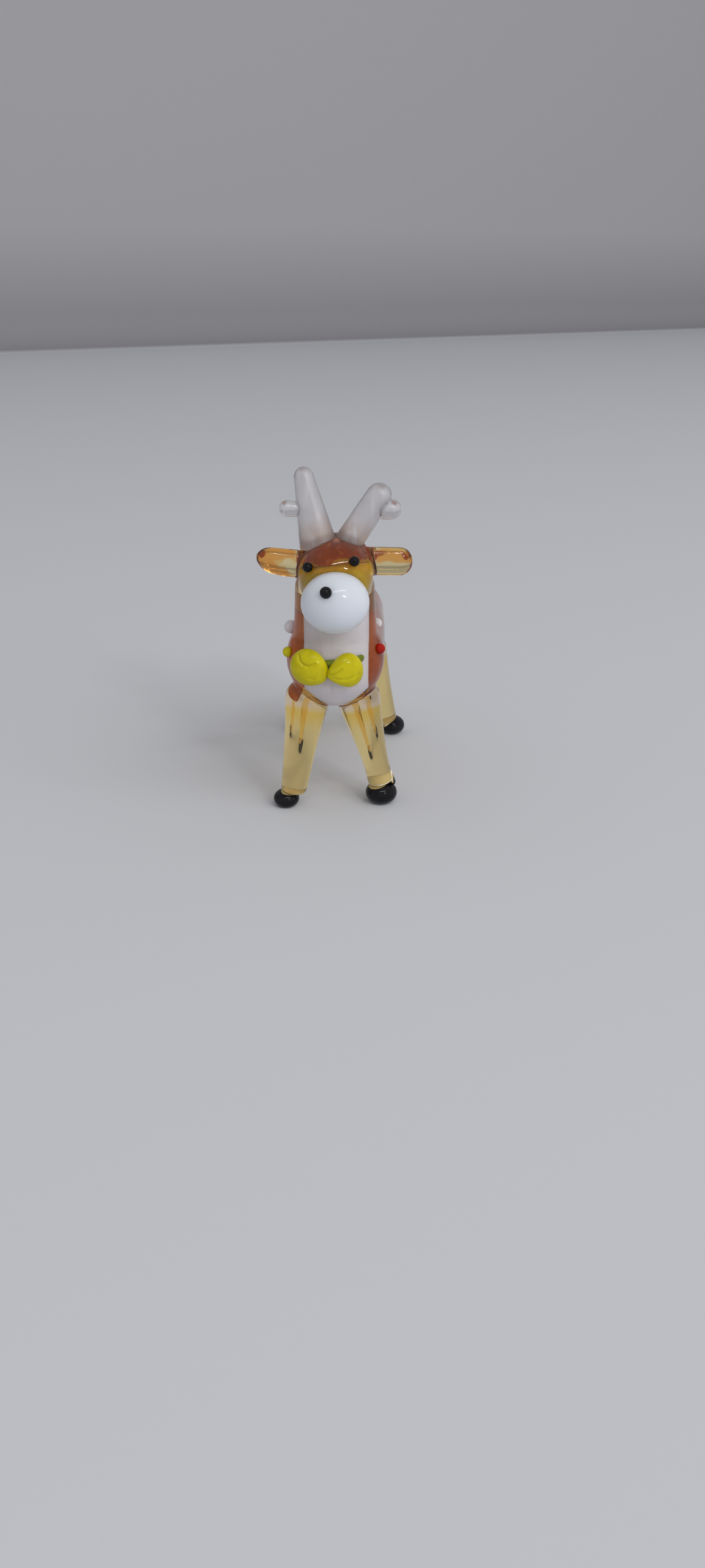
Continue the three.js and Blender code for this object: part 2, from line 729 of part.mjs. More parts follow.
// Colours of the glass
const glass = {
  amber: { color: 0xd9a441, roughness: 0.05 },
  brown: { color: 0x7a3a17, roughness: 0.08 },
  white: { color: 0xe9e8ea, roughness: 0.12 },
  opal: { color: 0xd8cdd2, roughness: 0.2 },
  clear: { color: 0xdedbe0, roughness: 0.05 },
  black: { color: 0x0c0c0e, roughness: 0.06 },
  yellow: { color: 0xe6d21c, roughness: 0.12 },
  green: { color: 0x6f8a2c, roughness: 0.08 },
  red: { color: 0xb5161c, roughness: 0.1 },
};

const figurine = new THREE.Group();

function add(name, solid, kind) {
  const material = new THREE.MeshStandardMaterial({ ...glass[kind], metalness: 0 });
  const mesh = new THREE.Mesh(geometryOf(solid), material);
  mesh.name = name;
  figurine.add(mesh);
}

add('torso', torso, 'amber');
add('neck', neckPiece, 'amber');
add('head', headPiece, 'amber');
add('chest_bib', bib, 'white');
add('back_stripe', backStripe, 'brown');
add('crown_patch', crown, 'brown');
add('muzzle', muzzle, 'white');
add('nose', nose, 'black');
add('left_eye', eye(1, leftEyeHeight), 'black');
add('right_eye', eye(-1, rightEyeHeight), 'black');
add('left_ear', leftEar, 'amber');
add('right_ear', rightEar, 'amber');
add('left_antler', leftAntler, 'opal');
add('right_antler', rightAntler, 'opal');
add('left_antler_tine', leftTine, 'clear');
add('right_antler_tine', rightTine, 'clear');
add('collar_stringer', stringer(0).subtract(carrierSeat), 'green');
add('left_bow_lobe', leftLobe, 'yellow');
add('right_bow_lobe', rightLobe, 'yellow');
for (const [corner, stations] of Object.entries(legForms)) {
  add(`${corner}_leg`, leg(stations, 0).subtract(bodySeat), 'amber');
  add(`${corner}_hoof`, hoof(stations, ...hoofForms[corner]), 'black');
}
add('tail', tail(), 'amber');
for (const [name, form] of Object.entries(beadForms)) {
  const [, kind] = name.split('_');
  add(name, shoulderBead(form), kind);
}

// The origin goes under the middle of the bounding box.
const box = new THREE.Box3().setFromObject(figurine);
const middle = box.getCenter(new THREE.Vector3());
figurine.position.set(-middle.x, -middle.y, -box.min.z);

export default figurine;
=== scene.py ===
"""Looks of the glass reindeer figurine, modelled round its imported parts.

The clear glass is one fused body, as it is on a figurine made at a lamp. The coloured stripes lie in
its skin, and the beads, bow, antlers and hooves are pieces of their own.
"""

import math

import bmesh
import bpy
from mathutils import Matrix, Vector


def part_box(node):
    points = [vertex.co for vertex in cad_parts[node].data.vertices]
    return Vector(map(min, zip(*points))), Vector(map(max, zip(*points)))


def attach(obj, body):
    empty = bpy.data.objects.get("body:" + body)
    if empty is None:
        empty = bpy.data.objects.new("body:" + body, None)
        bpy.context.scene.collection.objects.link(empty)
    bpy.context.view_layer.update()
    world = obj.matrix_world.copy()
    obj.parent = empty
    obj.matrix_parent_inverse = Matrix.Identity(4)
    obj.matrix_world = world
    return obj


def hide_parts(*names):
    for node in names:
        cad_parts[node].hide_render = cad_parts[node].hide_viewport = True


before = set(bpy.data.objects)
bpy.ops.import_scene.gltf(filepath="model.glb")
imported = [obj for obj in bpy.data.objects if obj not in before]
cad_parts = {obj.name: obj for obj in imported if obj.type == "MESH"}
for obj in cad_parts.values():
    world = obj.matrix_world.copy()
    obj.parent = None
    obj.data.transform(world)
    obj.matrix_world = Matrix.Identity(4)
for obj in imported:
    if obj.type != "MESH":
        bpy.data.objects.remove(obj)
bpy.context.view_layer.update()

MM = 0.001
LEFT = Vector((1, 0, 0))
UP = Vector((0, 0, 1))
BACK = Vector((0, 1, 0))

# The figurine's own measures, in millimetres. Y is counted back from the line of the front legs.
CHEST_CLEARANCE = 16.4
CHEST_WIDE, CHEST_TALL, CHEST_DOME = 14, 13.7, 6.6
FLANK_WIDE, FLANK_TALL, FLANK_LIFT = 13.6, 12, 0.5
RUMP_WIDE, RUMP_TALL, RUMP_DOME, RUMP_DROP = 12.8, 12.8, 6.2, 0.9
BARREL_LONG = 37.6
CHEST_AXIS = CHEST_CLEARANCE + CHEST_TALL / 2
RUMP_AXIS = CHEST_AXIS - RUMP_DROP
RUMP_BACK = BARREL_LONG - CHEST_DOME

NECK_RISE = 13.4
NECK_FORWARD, NECK_ROOT_BACK, NECK_DOME = 0.8, 0.2, 2.7
NECK_SIZES = [(0, 12.8, 11.6), (0.45, 11.5, 10.6), (1, 10.9, 10.2)]
NECK_TOP = CHEST_AXIS + NECK_RISE

HEAD_WIDE, HEAD_TALL, HEAD_LONG, HEAD_DOME = 10.25, 9.2, 11.8, 4.5
HEAD_AT = Vector((0.3, -1.9, NECK_TOP - 0.5))
HEAD_TURN = Matrix.Rotation(math.radians(-6), 3, "Y") @ Matrix.Rotation(math.radians(10), 3, "X")

LEG_SIZES = [(0, 7.2, 7.2), (0.5, 5.1, 5.1), (1, 3.8, 3.8)]
LEFT_LEG_SIZES = [(0, 7.2, 7.2), (0.5, 4.8, 4.8), (0.85, 3.75, 3.75), (1, 4.1, 4.1)]
LEG_DOMES = (3, 0.45)
HIP_DEPTH = 3.5
REAR_HIP_Y = RUMP_BACK - 5.2
LEGS = {
    "front_right": {"hip": (-3.65, 0, CHEST_AXIS - HIP_DEPTH), "foot": (-6.4, -0.4, 2.1)},
    "front_left": {"hip": (2.65, 0, CHEST_AXIS - HIP_DEPTH), "foot": (6.7, 1.6, 3.1)},
    "rear_right": {"hip": (-3, REAR_HIP_Y, RUMP_AXIS - HIP_DEPTH), "foot": (-6.8, REAR_HIP_Y + 4.4, 2.1)},
    "rear_left": {"hip": (3, REAR_HIP_Y, RUMP_AXIS - HIP_DEPTH), "foot": (6.8, REAR_HIP_Y + 4.4, 2.1)},
}
HOOVES = {
    "front_right": {"wide": 3.85, "tall": 2.9, "out": 1.05, "lining": 0.5, "slant": 0},
    "front_left": {"wide": 4.75, "tall": 3.65, "out": 0, "lining": 1.5, "slant": 0.45},
    "rear_right": {"wide": 4.3, "tall": 3.3, "out": 1.05, "lining": 0.5, "slant": 0},
    "rear_left": {"wide": 4.3, "tall": 3.3, "out": 1.05, "lining": 0.5, "slant": 0},
}
HOOF_SOLE = 0.25

# The dome of a rod's end that is sunk in the glass that carries it
ROOT_DOME = 0.8

EAR_SUNK, EAR_BACK, EAR_RAISE = 2.05, 0.6, 0.85
EAR_THICK = 2.5
EAR_LEAF_START = 0.55
EARS = {
    "right": {"side": -1, "long": 5.9, "tall": 3.8, "lift": 0.6, "raised": 0.4, "leaf": 0.82, "dome": 2.1},
    "left": {"side": 1, "long": 5.3, "tall": 3.9, "lift": -0.05, "raised": 0, "leaf": 1, "dome": 1.75},
}
EYE_ASIDE, EYE_SPREAD, EYE_STAND = -0.2, 5.9, 1
EYES = {
    "right": {"side": -1, "height": 2.45},
    "left": {"side": 1, "height": 2.7},
}
ANTLER_ASIDE, ANTLER_SPREAD, ANTLER_BACK = -0.25, 3.5, 0.8
ANTLER_SUNK, ANTLER_LEAN, ANTLER_FLAT = 1.75, 1.2, 0.9
ANTLERS = {
    "right": {"side": -1, "rise": 10.85, "splay": 2.35, "root": 5.4, "tip": 2.3},
    "left": {"side": 1, "rise": 8.2, "splay": 5.5, "root": 3.9, "tip": 3.4},
}
TINE_START, TINE_START_LIFT = 1, 0.03
TINE_REACH, TINE_END_LIFT = 4.3, 0.13
TINE_WAIST = 0.84
TINES = {
    "right": {"thick": 2.4, "height": 5.3},
    "left": {"thick": 2.9, "height": 4.9},
}
LOBES = {
    "right": {"side": -1, "wide": 5.7, "tall": 5.5, "drop": 0.32, "lap": 0.1, "tilt": 24, "narrow": 0.25},
    "left": {"side": 1, "wide": 5.1, "tall": 5.4, "drop": 0.5, "lap": 0.4, "tilt": -12, "narrow": 0.5},
}
BOW_Z = CHEST_AXIS + 0.8
BOW_ASIDE = -0.4

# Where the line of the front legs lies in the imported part's own frame
LEG_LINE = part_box("torso")[1].y / MM - RUMP_BACK


def place(point):
    """A point of the figurine's own measures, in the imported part's frame, in metres."""
    return Vector((point[0], point[1] + LEG_LINE, point[2])) * MM


def on_head(x, y, z):
    """A point of the head's own frame (x across, y back, z up) in the figurine's measures."""
    return HEAD_TURN @ Vector((x, y, z)) + HEAD_AT


# Modelling by hand

def only(*pieces):
    """Selects these pieces alone. The last one is active."""
    bpy.ops.object.select_all(action="DESELECT")
    for piece in pieces:
        piece.select_set(True)
    bpy.context.view_layer.objects.active = pieces[-1]


def named(name):
    """Names the piece that was just made."""
    piece = bpy.context.object
    piece.name = piece.data.name = name
    only(piece)
    return piece


def settle(piece):
    """Puts a piece's place, turn and size into its mesh."""
    only(piece)
    bpy.ops.object.transform_apply(location=True, rotation=True, scale=True)


def open_mesh(piece):
    """Opens a piece for editing, with everything in it selected."""
    only(piece)
    bpy.ops.object.mode_set(mode="EDIT")
    bpy.ops.mesh.select_mode(type="VERT")
    bpy.ops.mesh.select_all(action="SELECT")


def close_mesh():
    bpy.ops.object.mode_set(mode="OBJECT")


def pick(piece, test):
    """In edit mode, selects the corners that pass a test on their place, and nothing else."""
    bpy.ops.mesh.select_all(action="DESELECT")
    sheet = bmesh.from_edit_mesh(piece.data)
    for corner in sheet.verts:
        corner.select = bool(test(corner.co))
    sheet.select_flush_mode()
    bmesh.update_edit_mesh(piece.data)


def apply_modifier(piece, kind, **settings):
    """Adds a modifier and applies it at once."""
    only(piece)
    modifier = piece.modifiers.new(kind.title(), kind)
    for name, value in settings.items():
        setattr(modifier, name, value)
    bpy.ops.object.modifier_apply(modifier=modifier.name)


def smooth(piece):
    only(piece)
    bpy.ops.object.shade_smooth()


def rounded(piece, levels):
    """Rounds off a piece's facets."""
    apply_modifier(piece, "SUBSURF", levels=levels, render_levels=levels)
    smooth(piece)
    return piece


def copy_of(piece, name):
    """A copy of a piece, with a mesh of its own."""
    only(piece)
    bpy.ops.object.duplicate()
    return named(name)


def between(stations, share):
    """Values at a share of a rod's length, on the smooth curve through its stations.

    Each station is a tuple that starts with its own share.
    """
    last = len(stations) - 1
    start = min(sum(station[0] <= share for station in stations) - 1, last - 1)
    here, there = stations[start], stations[start + 1]
    before, after = stations[max(start - 1, 0)], stations[min(start + 2, last)]
    span = there[0] - here[0]
    step = (share - here[0]) / span
    from_here, from_leaving = 2 * step ** 3 - 3 * step ** 2 + 1, step ** 3 - 2 * step ** 2 + step
    from_there, from_arriving = 3 * step ** 2 - 2 * step ** 3, step ** 3 - step ** 2
    values = []
    for part in range(1, len(here)):
        leaving = (there[part] - before[part]) / (there[0] - before[0]) * span
        arriving = (after[part] - here[part]) / (after[0] - here[0]) * span
        values.append(here[part] * from_here + leaving * from_leaving
                      + there[part] * from_there + arriving * from_arriving)
    return values


def even(wide, deep):
    """The sizes of a rod that is the same all along."""
    return [(share, wide, deep) for share in (0, 0.5, 1)]


def tapered(start, end, flat=1):
    """The sizes of a rod that narrows evenly."""
    widths = [(share, start + (end - start) * share) for share in (0, 0.5, 1)]
    return [(share, wide, flat * wide) for share, wide in widths]


def rod_rings(length, sizes, start_dome, end_dome, bend=((0, 0), (1, 0)), spans=12, dome_steps=7):
    """Rings of a rod up the Z axis: height, width, depth, and how far the ring is pushed back."""
    marks = []
    for step in range(1, dome_steps + 1):
        angle = math.radians(90 * step / dome_steps)
        marks.append((start_dome * (1 - math.cos(angle)), math.sin(angle)))
    for step in range(1, spans):
        marks.append((start_dome + (length - start_dome - end_dome) * step / spans, 1))
    for step in range(dome_steps, 0, -1):
        angle = math.radians(90 * step / dome_steps)
        marks.append((length - end_dome * (1 - math.cos(angle)), math.sin(angle)))
    rings = []
    for height, round_share in marks:
        share = height / length
        wide, deep = between(sizes, share)
        rings.append((height, wide * round_share, deep * round_share, *between(bend, share)))
    return rings


def draw_rod(name, start, end, sizes, domes, across=LEFT, bend=((0, 0), (1, 0)), sides=40):
    """Draws a rod of glass: a disc is extruded from ring to ring, sized at each, and stood in its place."""
    start, end = place(start), place(end)
    rings = rod_rings((end - start).length / MM, sizes, *domes, bend=bend)
    bpy.ops.mesh.primitive_circle_add(vertices=sides, radius=0.5 * MM, fill_type="NGON")
    piece = named(name)
    open_mesh(piece)
    wide, deep, height, back = 1, 1, 0, 0
    for number, (next_height, next_wide, next_deep, next_back) in enumerate(rings):
        move = (0, (next_back - back) * MM, (next_height - height) * MM)
        if number:
            bpy.ops.mesh.extrude_region_move(TRANSFORM_OT_translate={"value": move})
        else:
            bpy.ops.transform.translate(value=move)
        centre = (0, next_back * MM, next_height * MM)
        bpy.ops.transform.resize(value=(next_wide / wide, next_deep / deep, 1), center_override=centre)
        wide, deep, height, back = next_wide, next_deep, next_height, next_back
    bpy.ops.mesh.select_all(action="SELECT")
    bpy.ops.mesh.normals_make_consistent(inside=False)
    close_mesh()
    along = (end - start).normalized()
    side = (across - along * across.dot(along)).normalized()
    turn = Matrix((side, along.cross(side), along)).transposed().to_4x4()
    piece.matrix_world = Matrix.Translation(start) @ turn
    settle(piece)
    return piece


def squash_ball(name, centre, size, turn=Matrix.Identity(3), segments=48, rings=32):
    """A ball of glass squashed to its full sizes, turned and set in its place."""
    bpy.ops.mesh.primitive_uv_sphere_add(segments=segments, ring_count=rings, radius=0.5 * MM)
    piece = named(name)
    piece.scale = size
    piece.rotation_euler = turn.to_euler()
    piece.location = place(centre)
    settle(piece)
    smooth(piece)
    return piece


def fuse(name, rods, voxel, passes):
    """Melts rods into one body, and lets the heat smooth its joints."""
    only(*rods)
    bpy.ops.object.join()
    body = named(name)
    apply_modifier(body, "REMESH", mode="VOXEL", voxel_size=voxel * MM, use_smooth_shade=True)
    apply_modifier(body, "SMOOTH", factor=0.5, iterations=passes)
    smooth(body)
    return body


# A corner this near to a cut's plane lies on it, in metres and in millimetres
CUT_SNAP = 1e-7
WINDOW_SNAP = 0.01


def cut_away(piece, point, normal):
    """Cuts away what lies past a plane, on the side that its normal points to."""
    open_mesh(piece)
    bpy.ops.mesh.bisect(plane_co=place(point), plane_no=normal, clear_outer=True, threshold=CUT_SNAP)
    close_mesh()


def cap_holes(piece):
    """Closes the holes that a cut left."""
    open_mesh(piece)
    bpy.ops.mesh.select_all(action="DESELECT")
    bpy.ops.mesh.select_non_manifold()
    bpy.ops.mesh.edge_face_add()
    bpy.ops.mesh.select_all(action="SELECT")
    bpy.ops.mesh.normals_make_consistent(inside=False)
    close_mesh()


def cut_window(piece, planes):
    """Cuts away what lies past every one of these planes at once, as a window or a notch."""
    open_mesh(piece)
    for point, normal in planes:
        bpy.ops.mesh.select_all(action="SELECT")
        bpy.ops.mesh.bisect(plane_co=place(point), plane_no=normal, threshold=CUT_SNAP)
    pick(piece, lambda co: all((co - place(point)).dot(normal) > WINDOW_SNAP * MM
                               for point, normal in planes))
    bpy.ops.mesh.delete(type="VERT")
    close_mesh()


# The fused clear glass

def draw_barrel():
    chest, rump = CHEST_DOME / BARREL_LONG, 1 - RUMP_DOME / BARREL_LONG
    sizes = [(0, CHEST_WIDE, CHEST_TALL), (chest, CHEST_WIDE, CHEST_TALL), (0.5, FLANK_WIDE, FLANK_TALL),
             (rump, RUMP_WIDE, RUMP_TALL), (1, RUMP_WIDE, RUMP_TALL)]
    bend = [(0, 0), (chest, -RUMP_DROP * chest), (0.5, -FLANK_LIFT), (rump, RUMP_DROP * (1 - rump)), (1, 0)]
    start, end = (0, -CHEST_DOME, CHEST_AXIS), (0, RUMP_BACK, RUMP_AXIS)
    return draw_rod("barrel", start, end, sizes, (CHEST_DOME, RUMP_DOME), bend=bend, sides=64)


def draw_neck():
    start, end = (0, NECK_ROOT_BACK, CHEST_AXIS), (0, -NECK_FORWARD, NECK_TOP)
    return draw_rod("neck_column", start, end, NECK_SIZES, (NECK_DOME, NECK_DOME), sides=64)


def draw_head():
    start, end = on_head(0, -HEAD_LONG / 2, 0), on_head(0, HEAD_LONG / 2, 0)
    sizes = even(HEAD_WIDE, HEAD_TALL)
    return draw_rod("head_rod", start, end, sizes, (HEAD_DOME, HEAD_DOME), across=HEAD_TURN @ LEFT, sides=64)


def draw_ear(name, side, long, tall, lift, raised, leaf, dome):
    """An ear, drawn out from the head's side. A leaf-shaped one narrows to a raised tip."""
    root = on_head(side * (HEAD_WIDE / 2 - EAR_SUNK), EAR_BACK, EAR_RAISE)
    tip = Vector((HEAD_AT.x + side * (HEAD_WIDE / 2 + long), root.y, root.z + lift))
    sizes = [(0, EAR_THICK, tall), (EAR_LEAF_START, EAR_THICK, tall), (1, EAR_THICK, tall * leaf)]
    bend = [(0, 0), (EAR_LEAF_START, 0), (1, side * raised)]
    return draw_rod(name + "_ear_lobe", root, tip, sizes, (ROOT_DOME, dome), across=BACK, bend=bend)


def leg_sizes(corner):
    """A leg's sizes. The front left one swells a little at its end."""
    return LEFT_LEG_SIZES if corner == "front_left" else LEG_SIZES


def leg_end(corner):
    """Where a leg ends, and the direction up the leg from there."""
    foot = Vector(LEGS[corner]["foot"])
    return foot, (Vector(LEGS[corner]["hip"]) - foot).normalized()


def draw_leg(corner, shrink=0):
    """A leg, from inside the barrel down to its round end. A shrunk one lies that deep inside it."""
    foot, along = leg_end(corner)
    sizes = [(share, wide - 2 * shrink, deep - 2 * shrink) for share, wide, deep in leg_sizes(corner)]
    hip = Vector(LEGS[corner]["hip"])
    return draw_rod(corner + "_leg_rod", hip, foot + along * shrink, sizes, LEG_DOMES)


TAIL_ROOT = Vector((0, RUMP_BACK - 3.4, RUMP_AXIS + 3.6))
TAIL_LONG, TAIL_CLIMB = 4.2, math.radians(30)
TAIL_SIZES = [(0, 2.6, 2.6), (0.5, 2.25, 2.25), (1, 1.2, 1.2)]
TAIL_TIP_DOME = 0.6


def draw_tail():
    tip = TAIL_ROOT + Vector((0, math.cos(TAIL_CLIMB), math.sin(TAIL_CLIMB))) * TAIL_LONG
    return draw_rod("tail_point", TAIL_ROOT, tip, TAIL_SIZES, (ROOT_DOME, TAIL_TIP_DOME))


legs = [draw_leg(corner) for corner in LEGS]
trunk = fuse("trunk", [*legs, draw_barrel(), draw_neck(), draw_head()], voxel=0.24, passes=12)
skin = copy_of(trunk, "skin")
ears = [draw_ear(name, **shape) for name, shape in EARS.items()]
glass_body = fuse("glass_body", [draw_tail(), *ears, trunk], voxel=0.24, passes=4)


# Stripes cut from the body's skin

# Corners of a stripe nearer to each other than this are merged, so that no sliver is left at a cut
SLIVER = 0.04


def lay_stripe(name, cuts, depth, thick, windows=()):
    """A stripe: the body's skin cut to its outline, sunk to its depth and given its thickness."""
    stripe = copy_of(skin, name)
    for point, normal in cuts:
        cut_away(stripe, point, normal)
    for planes in windows:
        cut_window(stripe, planes)
    open_mesh(stripe)
    bpy.ops.mesh.remove_doubles(threshold=SLIVER * MM)
    bpy.ops.mesh.dissolve_degenerate(threshold=SLIVER * MM)
    bpy.ops.transform.shrink_fatten(value=-depth * MM)
    close_mesh()
    apply_modifier(stripe, "SOLIDIFY", thickness=thick * MM, offset=-1)
    smooth(stripe)
    return stripe


def front_cuts(outline):
    """Cuts along an outline drawn in the front view, counterclockwise as seen from the front."""
    cuts = []
    for (x0, z0), (x1, z1) in zip(outline, outline[1:] + outline[:1]):
        cuts.append(((x0, 0, z0), Vector((z1 - z0, 0, x0 - x1)).normalized()))
    return cuts


BIB_WIDE, BIB_ASIDE = 8.8, 0.4
BIB_TIP, BIB_TIP_HALF = CHEST_CLEARANCE + 0.4, 0.8
BIB_LOWER = BIB_TIP + 1.3
BIB_SHOULDER = CHEST_AXIS - 3.3
BIB_TOP = NECK_TOP - 4
BIB_END_Y = -1.8


def draw_bib():
    half = BIB_WIDE / 2
    left, right = BIB_ASIDE - half, BIB_ASIDE + half
    outline = [
        (left, BIB_SHOULDER), (BIB_ASIDE - half / 2, BIB_LOWER), (BIB_ASIDE - BIB_TIP_HALF, BIB_TIP),
        (BIB_ASIDE + BIB_TIP_HALF, BIB_TIP), (BIB_ASIDE + half / 2, BIB_LOWER), (right, BIB_SHOULDER),
        (right, BIB_TOP), (left, BIB_TOP),
    ]
    cuts = front_cuts(outline) + [((0, BIB_END_Y, 0), BACK)]
    return lay_stripe("chest_bib_glass", cuts, depth=-0.1, thick=0.7)


MANTLE_LOW = CHEST_AXIS + 1
MANTLE_GAP = 0.15
MANTLE_COLLAR, MANTLE_HEM, MANTLE_CHEST_EDGE = (0, 0, 31), (0, -3, 18.2), (-4.1, 0, 20.4)


def draw_mantle():
    """Brown over the nape, the shoulders and the back, down to a hem that rises behind the shoulders."""
    collar = (MANTLE_COLLAR, Vector((0, -0.2, 1)).normalized())
    hem = (MANTLE_HEM, Vector((0.16, 0.6, -1)).normalized())
    chest_edge = (MANTLE_CHEST_EDGE, Vector((0.9, 0, -0.42)).normalized())
    right, left = BIB_ASIDE - BIB_WIDE / 2 - MANTLE_GAP, BIB_ASIDE + BIB_WIDE / 2 + MANTLE_GAP
    below = ((0, 0, MANTLE_LOW), -UP)
    windows = [
        [((right, 0, 0), LEFT), ((left, 0, 0), -LEFT), ((0, BIB_END_Y, 0), -BACK)],
        [hem, below],
        [chest_edge, below, ((0, 0, 0), -LEFT)],
    ]
    return lay_stripe("back_stripe_glass", [collar], depth=0.3, thick=0.4, windows=windows)


CROWN_UP = HEAD_TURN @ Matrix.Rotation(math.radians(-24), 3, "X") @ UP
CROWN_POINT = HEAD_AT + CROWN_UP * 0.75


def draw_crown():
    return lay_stripe("crown_glass", [(CROWN_POINT, -CROWN_UP)], depth=0.4, thick=0.4)


# Muzzle, nose and eyes

MUZZLE_ASIDE, MUZZLE_REACH, MUZZLE_DROP = -0.15, HEAD_LONG / 2 + 0.2, 1.95
MUZZLE_WIDE, MUZZLE_DEEP, MUZZLE_TALL = 9.2, 7.8, 8.3
MUZZLE_ROOT_START, MUZZLE_ROOT_END = (0, -5.2, -0.7), (0, 1.4, -0.4)
MUZZLE_ROOT_SIZES = even(9.3, 7.6)
MUZZLE_ROOT_DOMES = (3.4, 2.2)
NOSE_BEAD, EYE_BEAD = 1.6, 1.4
NOSE_ASIDE, NOSE_RAISE, NOSE_SUNK = -0.75, 2.9, 0.56


def draw_muzzle():
    """The white muzzle, with its root deep in the head."""
    ball = squash_ball("ball", on_head(MUZZLE_ASIDE, -MUZZLE_REACH, -MUZZLE_DROP),
                       (MUZZLE_WIDE, MUZZLE_DEEP, MUZZLE_TALL), HEAD_TURN, segments=80, rings=56)
    root = draw_rod("root", on_head(*MUZZLE_ROOT_START), on_head(*MUZZLE_ROOT_END), MUZZLE_ROOT_SIZES,
                    MUZZLE_ROOT_DOMES, across=HEAD_TURN @ LEFT, sides=56)
    return fuse("muzzle_glass", [ball, root], voxel=0.15, passes=8)


def draw_nose():
    """The nose, sunk a little into the muzzle's face."""
    share = math.hypot(NOSE_ASIDE / (MUZZLE_WIDE / 2), NOSE_RAISE / (MUZZLE_TALL / 2))
    forward = MUZZLE_REACH + MUZZLE_DEEP / 2 * math.sqrt(1 - share * share) + NOSE_BEAD / 2 - NOSE_SUNK
    centre = on_head(MUZZLE_ASIDE + NOSE_ASIDE, -forward, NOSE_RAISE - MUZZLE_DROP)
    return squash_ball("nose_bead", centre, (NOSE_BEAD, NOSE_BEAD * 0.97, NOSE_BEAD))


def draw_eye(name, side, height):
    """An eye, standing out of the head's domed face."""
    x, z = EYE_ASIDE + side * EYE_SPREAD / 2, height
    share = math.hypot(x / (HEAD_WIDE / 2), z / (HEAD_TALL / 2))
    seat = on_head(x, -HEAD_LONG / 2 + HEAD_DOME * (1 - math.sqrt(1 - share * share)), z)
    out = (seat - on_head(0, HEAD_DOME - HEAD_LONG / 2, 0)).normalized()
    centre = seat + out * (EYE_STAND - EYE_BEAD / 2)
    return squash_ball(name + "_eye_bead", centre, (EYE_BEAD, EYE_BEAD, EYE_BEAD * 0.98))


# Antlers and their tines

def antler_line(name):
    """The foot and the top of an antler."""
    side = ANTLERS[name]["side"]
    foot = on_head(ANTLER_ASIDE + side * ANTLER_SPREAD / 2, ANTLER_BACK, HEAD_TALL / 2 - ANTLER_SUNK)
    return foot, foot + Vector((side * ANTLERS[name]["splay"], ANTLER_LEAN, ANTLERS[name]["rise"]))


def draw_antler(name):
    shape = ANTLERS[name]
    foot, top = antler_line(name)
    sizes = tapered(shape["root"], shape["tip"], flat=ANTLER_FLAT)
    antler = draw_rod(name + "_antler_glass", foot, top, sizes, (ROOT_DOME, shape["tip"] / 2), sides=48)
    return rounded(antler, levels=2)


def draw_tine(name):
    """A tine, from inside its antler straight out to the side."""
    side, thick = ANTLERS[name]["side"], TINES[name]["thick"]
    foot, top = antler_line(name)
    axis = foot.lerp(top, TINES[name]["height"] / ANTLERS[name]["rise"])
    start = axis + Vector((side * TINE_START, 0, TINE_START_LIFT))
    end = axis + Vector((side * TINE_REACH, 0, TINE_END_LIFT))
    piece = draw_rod(name + "_tine_glass", start, end, tapered(thick * TINE_WAIST, thick),
                     (ROOT_DOME, thick / 2), across=UP)
    return rounded(piece, levels=1)


# Bow and stringer

def chest_front(x, z):
    """The most forward point of the chest and neck at a place across and up."""
    on_barrel = math.hypot(x / (CHEST_WIDE / 2), (z - CHEST_AXIS) / (CHEST_TALL / 2))
    barrel_y = -CHEST_DOME * math.sqrt(1 - on_barrel ** 2) if on_barrel < 1 else 0
    share = max(0, z - CHEST_AXIS) / NECK_RISE
    wide, deep = between(NECK_SIZES, share)
    centre = NECK_ROOT_BACK - (NECK_ROOT_BACK + NECK_FORWARD) * share
    neck_y = centre - deep / 2 * math.sqrt(1 - min(1, abs(x) / (wide / 2)) ** 2)
    return Vector((x, min(barrel_y, neck_y if z > CHEST_AXIS else 0), z))


STRINGER_LONG, STRINGER_RISE, STRINGER_LIFT, STRINGER_SUNK = 9.4, 0.9, 0.35, 0.3
STRINGER_THICK, STRINGER_FLARE, STRINGER_DOME = 1, 0.5, 0.45
STRINGER_STEPS = 8


def draw_stringer():
    """The green stringer: a thin rod laid across the bib, bent to the chest's curve."""
    def laid(share):
        return chest_front(BOW_ASIDE + (share - 0.5) * STRINGER_LONG,
                           BOW_Z + STRINGER_LIFT + (share - 0.5) * STRINGER_RISE)

    start, end = laid(0), laid(1)
    marks = [step / STRINGER_STEPS for step in range(STRINGER_STEPS + 1)]
    bend = [(share, start.lerp(end, share).y - laid(share).y) for share in marks]
    sizes = [(share, STRINGER_THICK, STRINGER_THICK + STRINGER_FLARE * (2 * share - 1) ** 2)
             for share in marks]
    out = Vector((0, STRINGER_SUNK - STRINGER_THICK / 2, 0))
    piece = draw_rod("stringer_glass", start + out, end + out, sizes, (STRINGER_DOME, STRINGER_DOME),
                     across=UP, bend=bend, sides=24)
    return rounded(piece, levels=1)


LOBE_THICK, LOBE_SUNK, LOBE_TURN = 2.9, 0.58, 17

# Creases of the lobes: lines in shares of a lobe's width and height, and the millimetres of their press
CREASES = {
    "right": [
        {"deep": 0.3, "reach": 0.3,
         "line": [(-0.333, 0.221), (-0.266, 0.146), (-0.129, 0.104), (0.004, 0.125), (0.065, 0.205),
                  (0.12, 0.26)]},
        {"deep": 0.08, "reach": 0.35, "line": [(0.105, -0.164), (0.262, -0.11)]},
    ],
    "left": [
        {"deep": 0.25, "reach": 0.28, "line": [(-0.43, 0.03), (-0.301, 0.059), (-0.2, 0.1), (-0.121, 0.147)]},
        {"deep": 0.12, "reach": 0.5,
         "line": [(-0.45, 0.0), (-0.285, -0.092), (0.021, -0.154), (0.316, -0.1)]},
    ],
}
CREASE_HALF_WIDE = 0.05


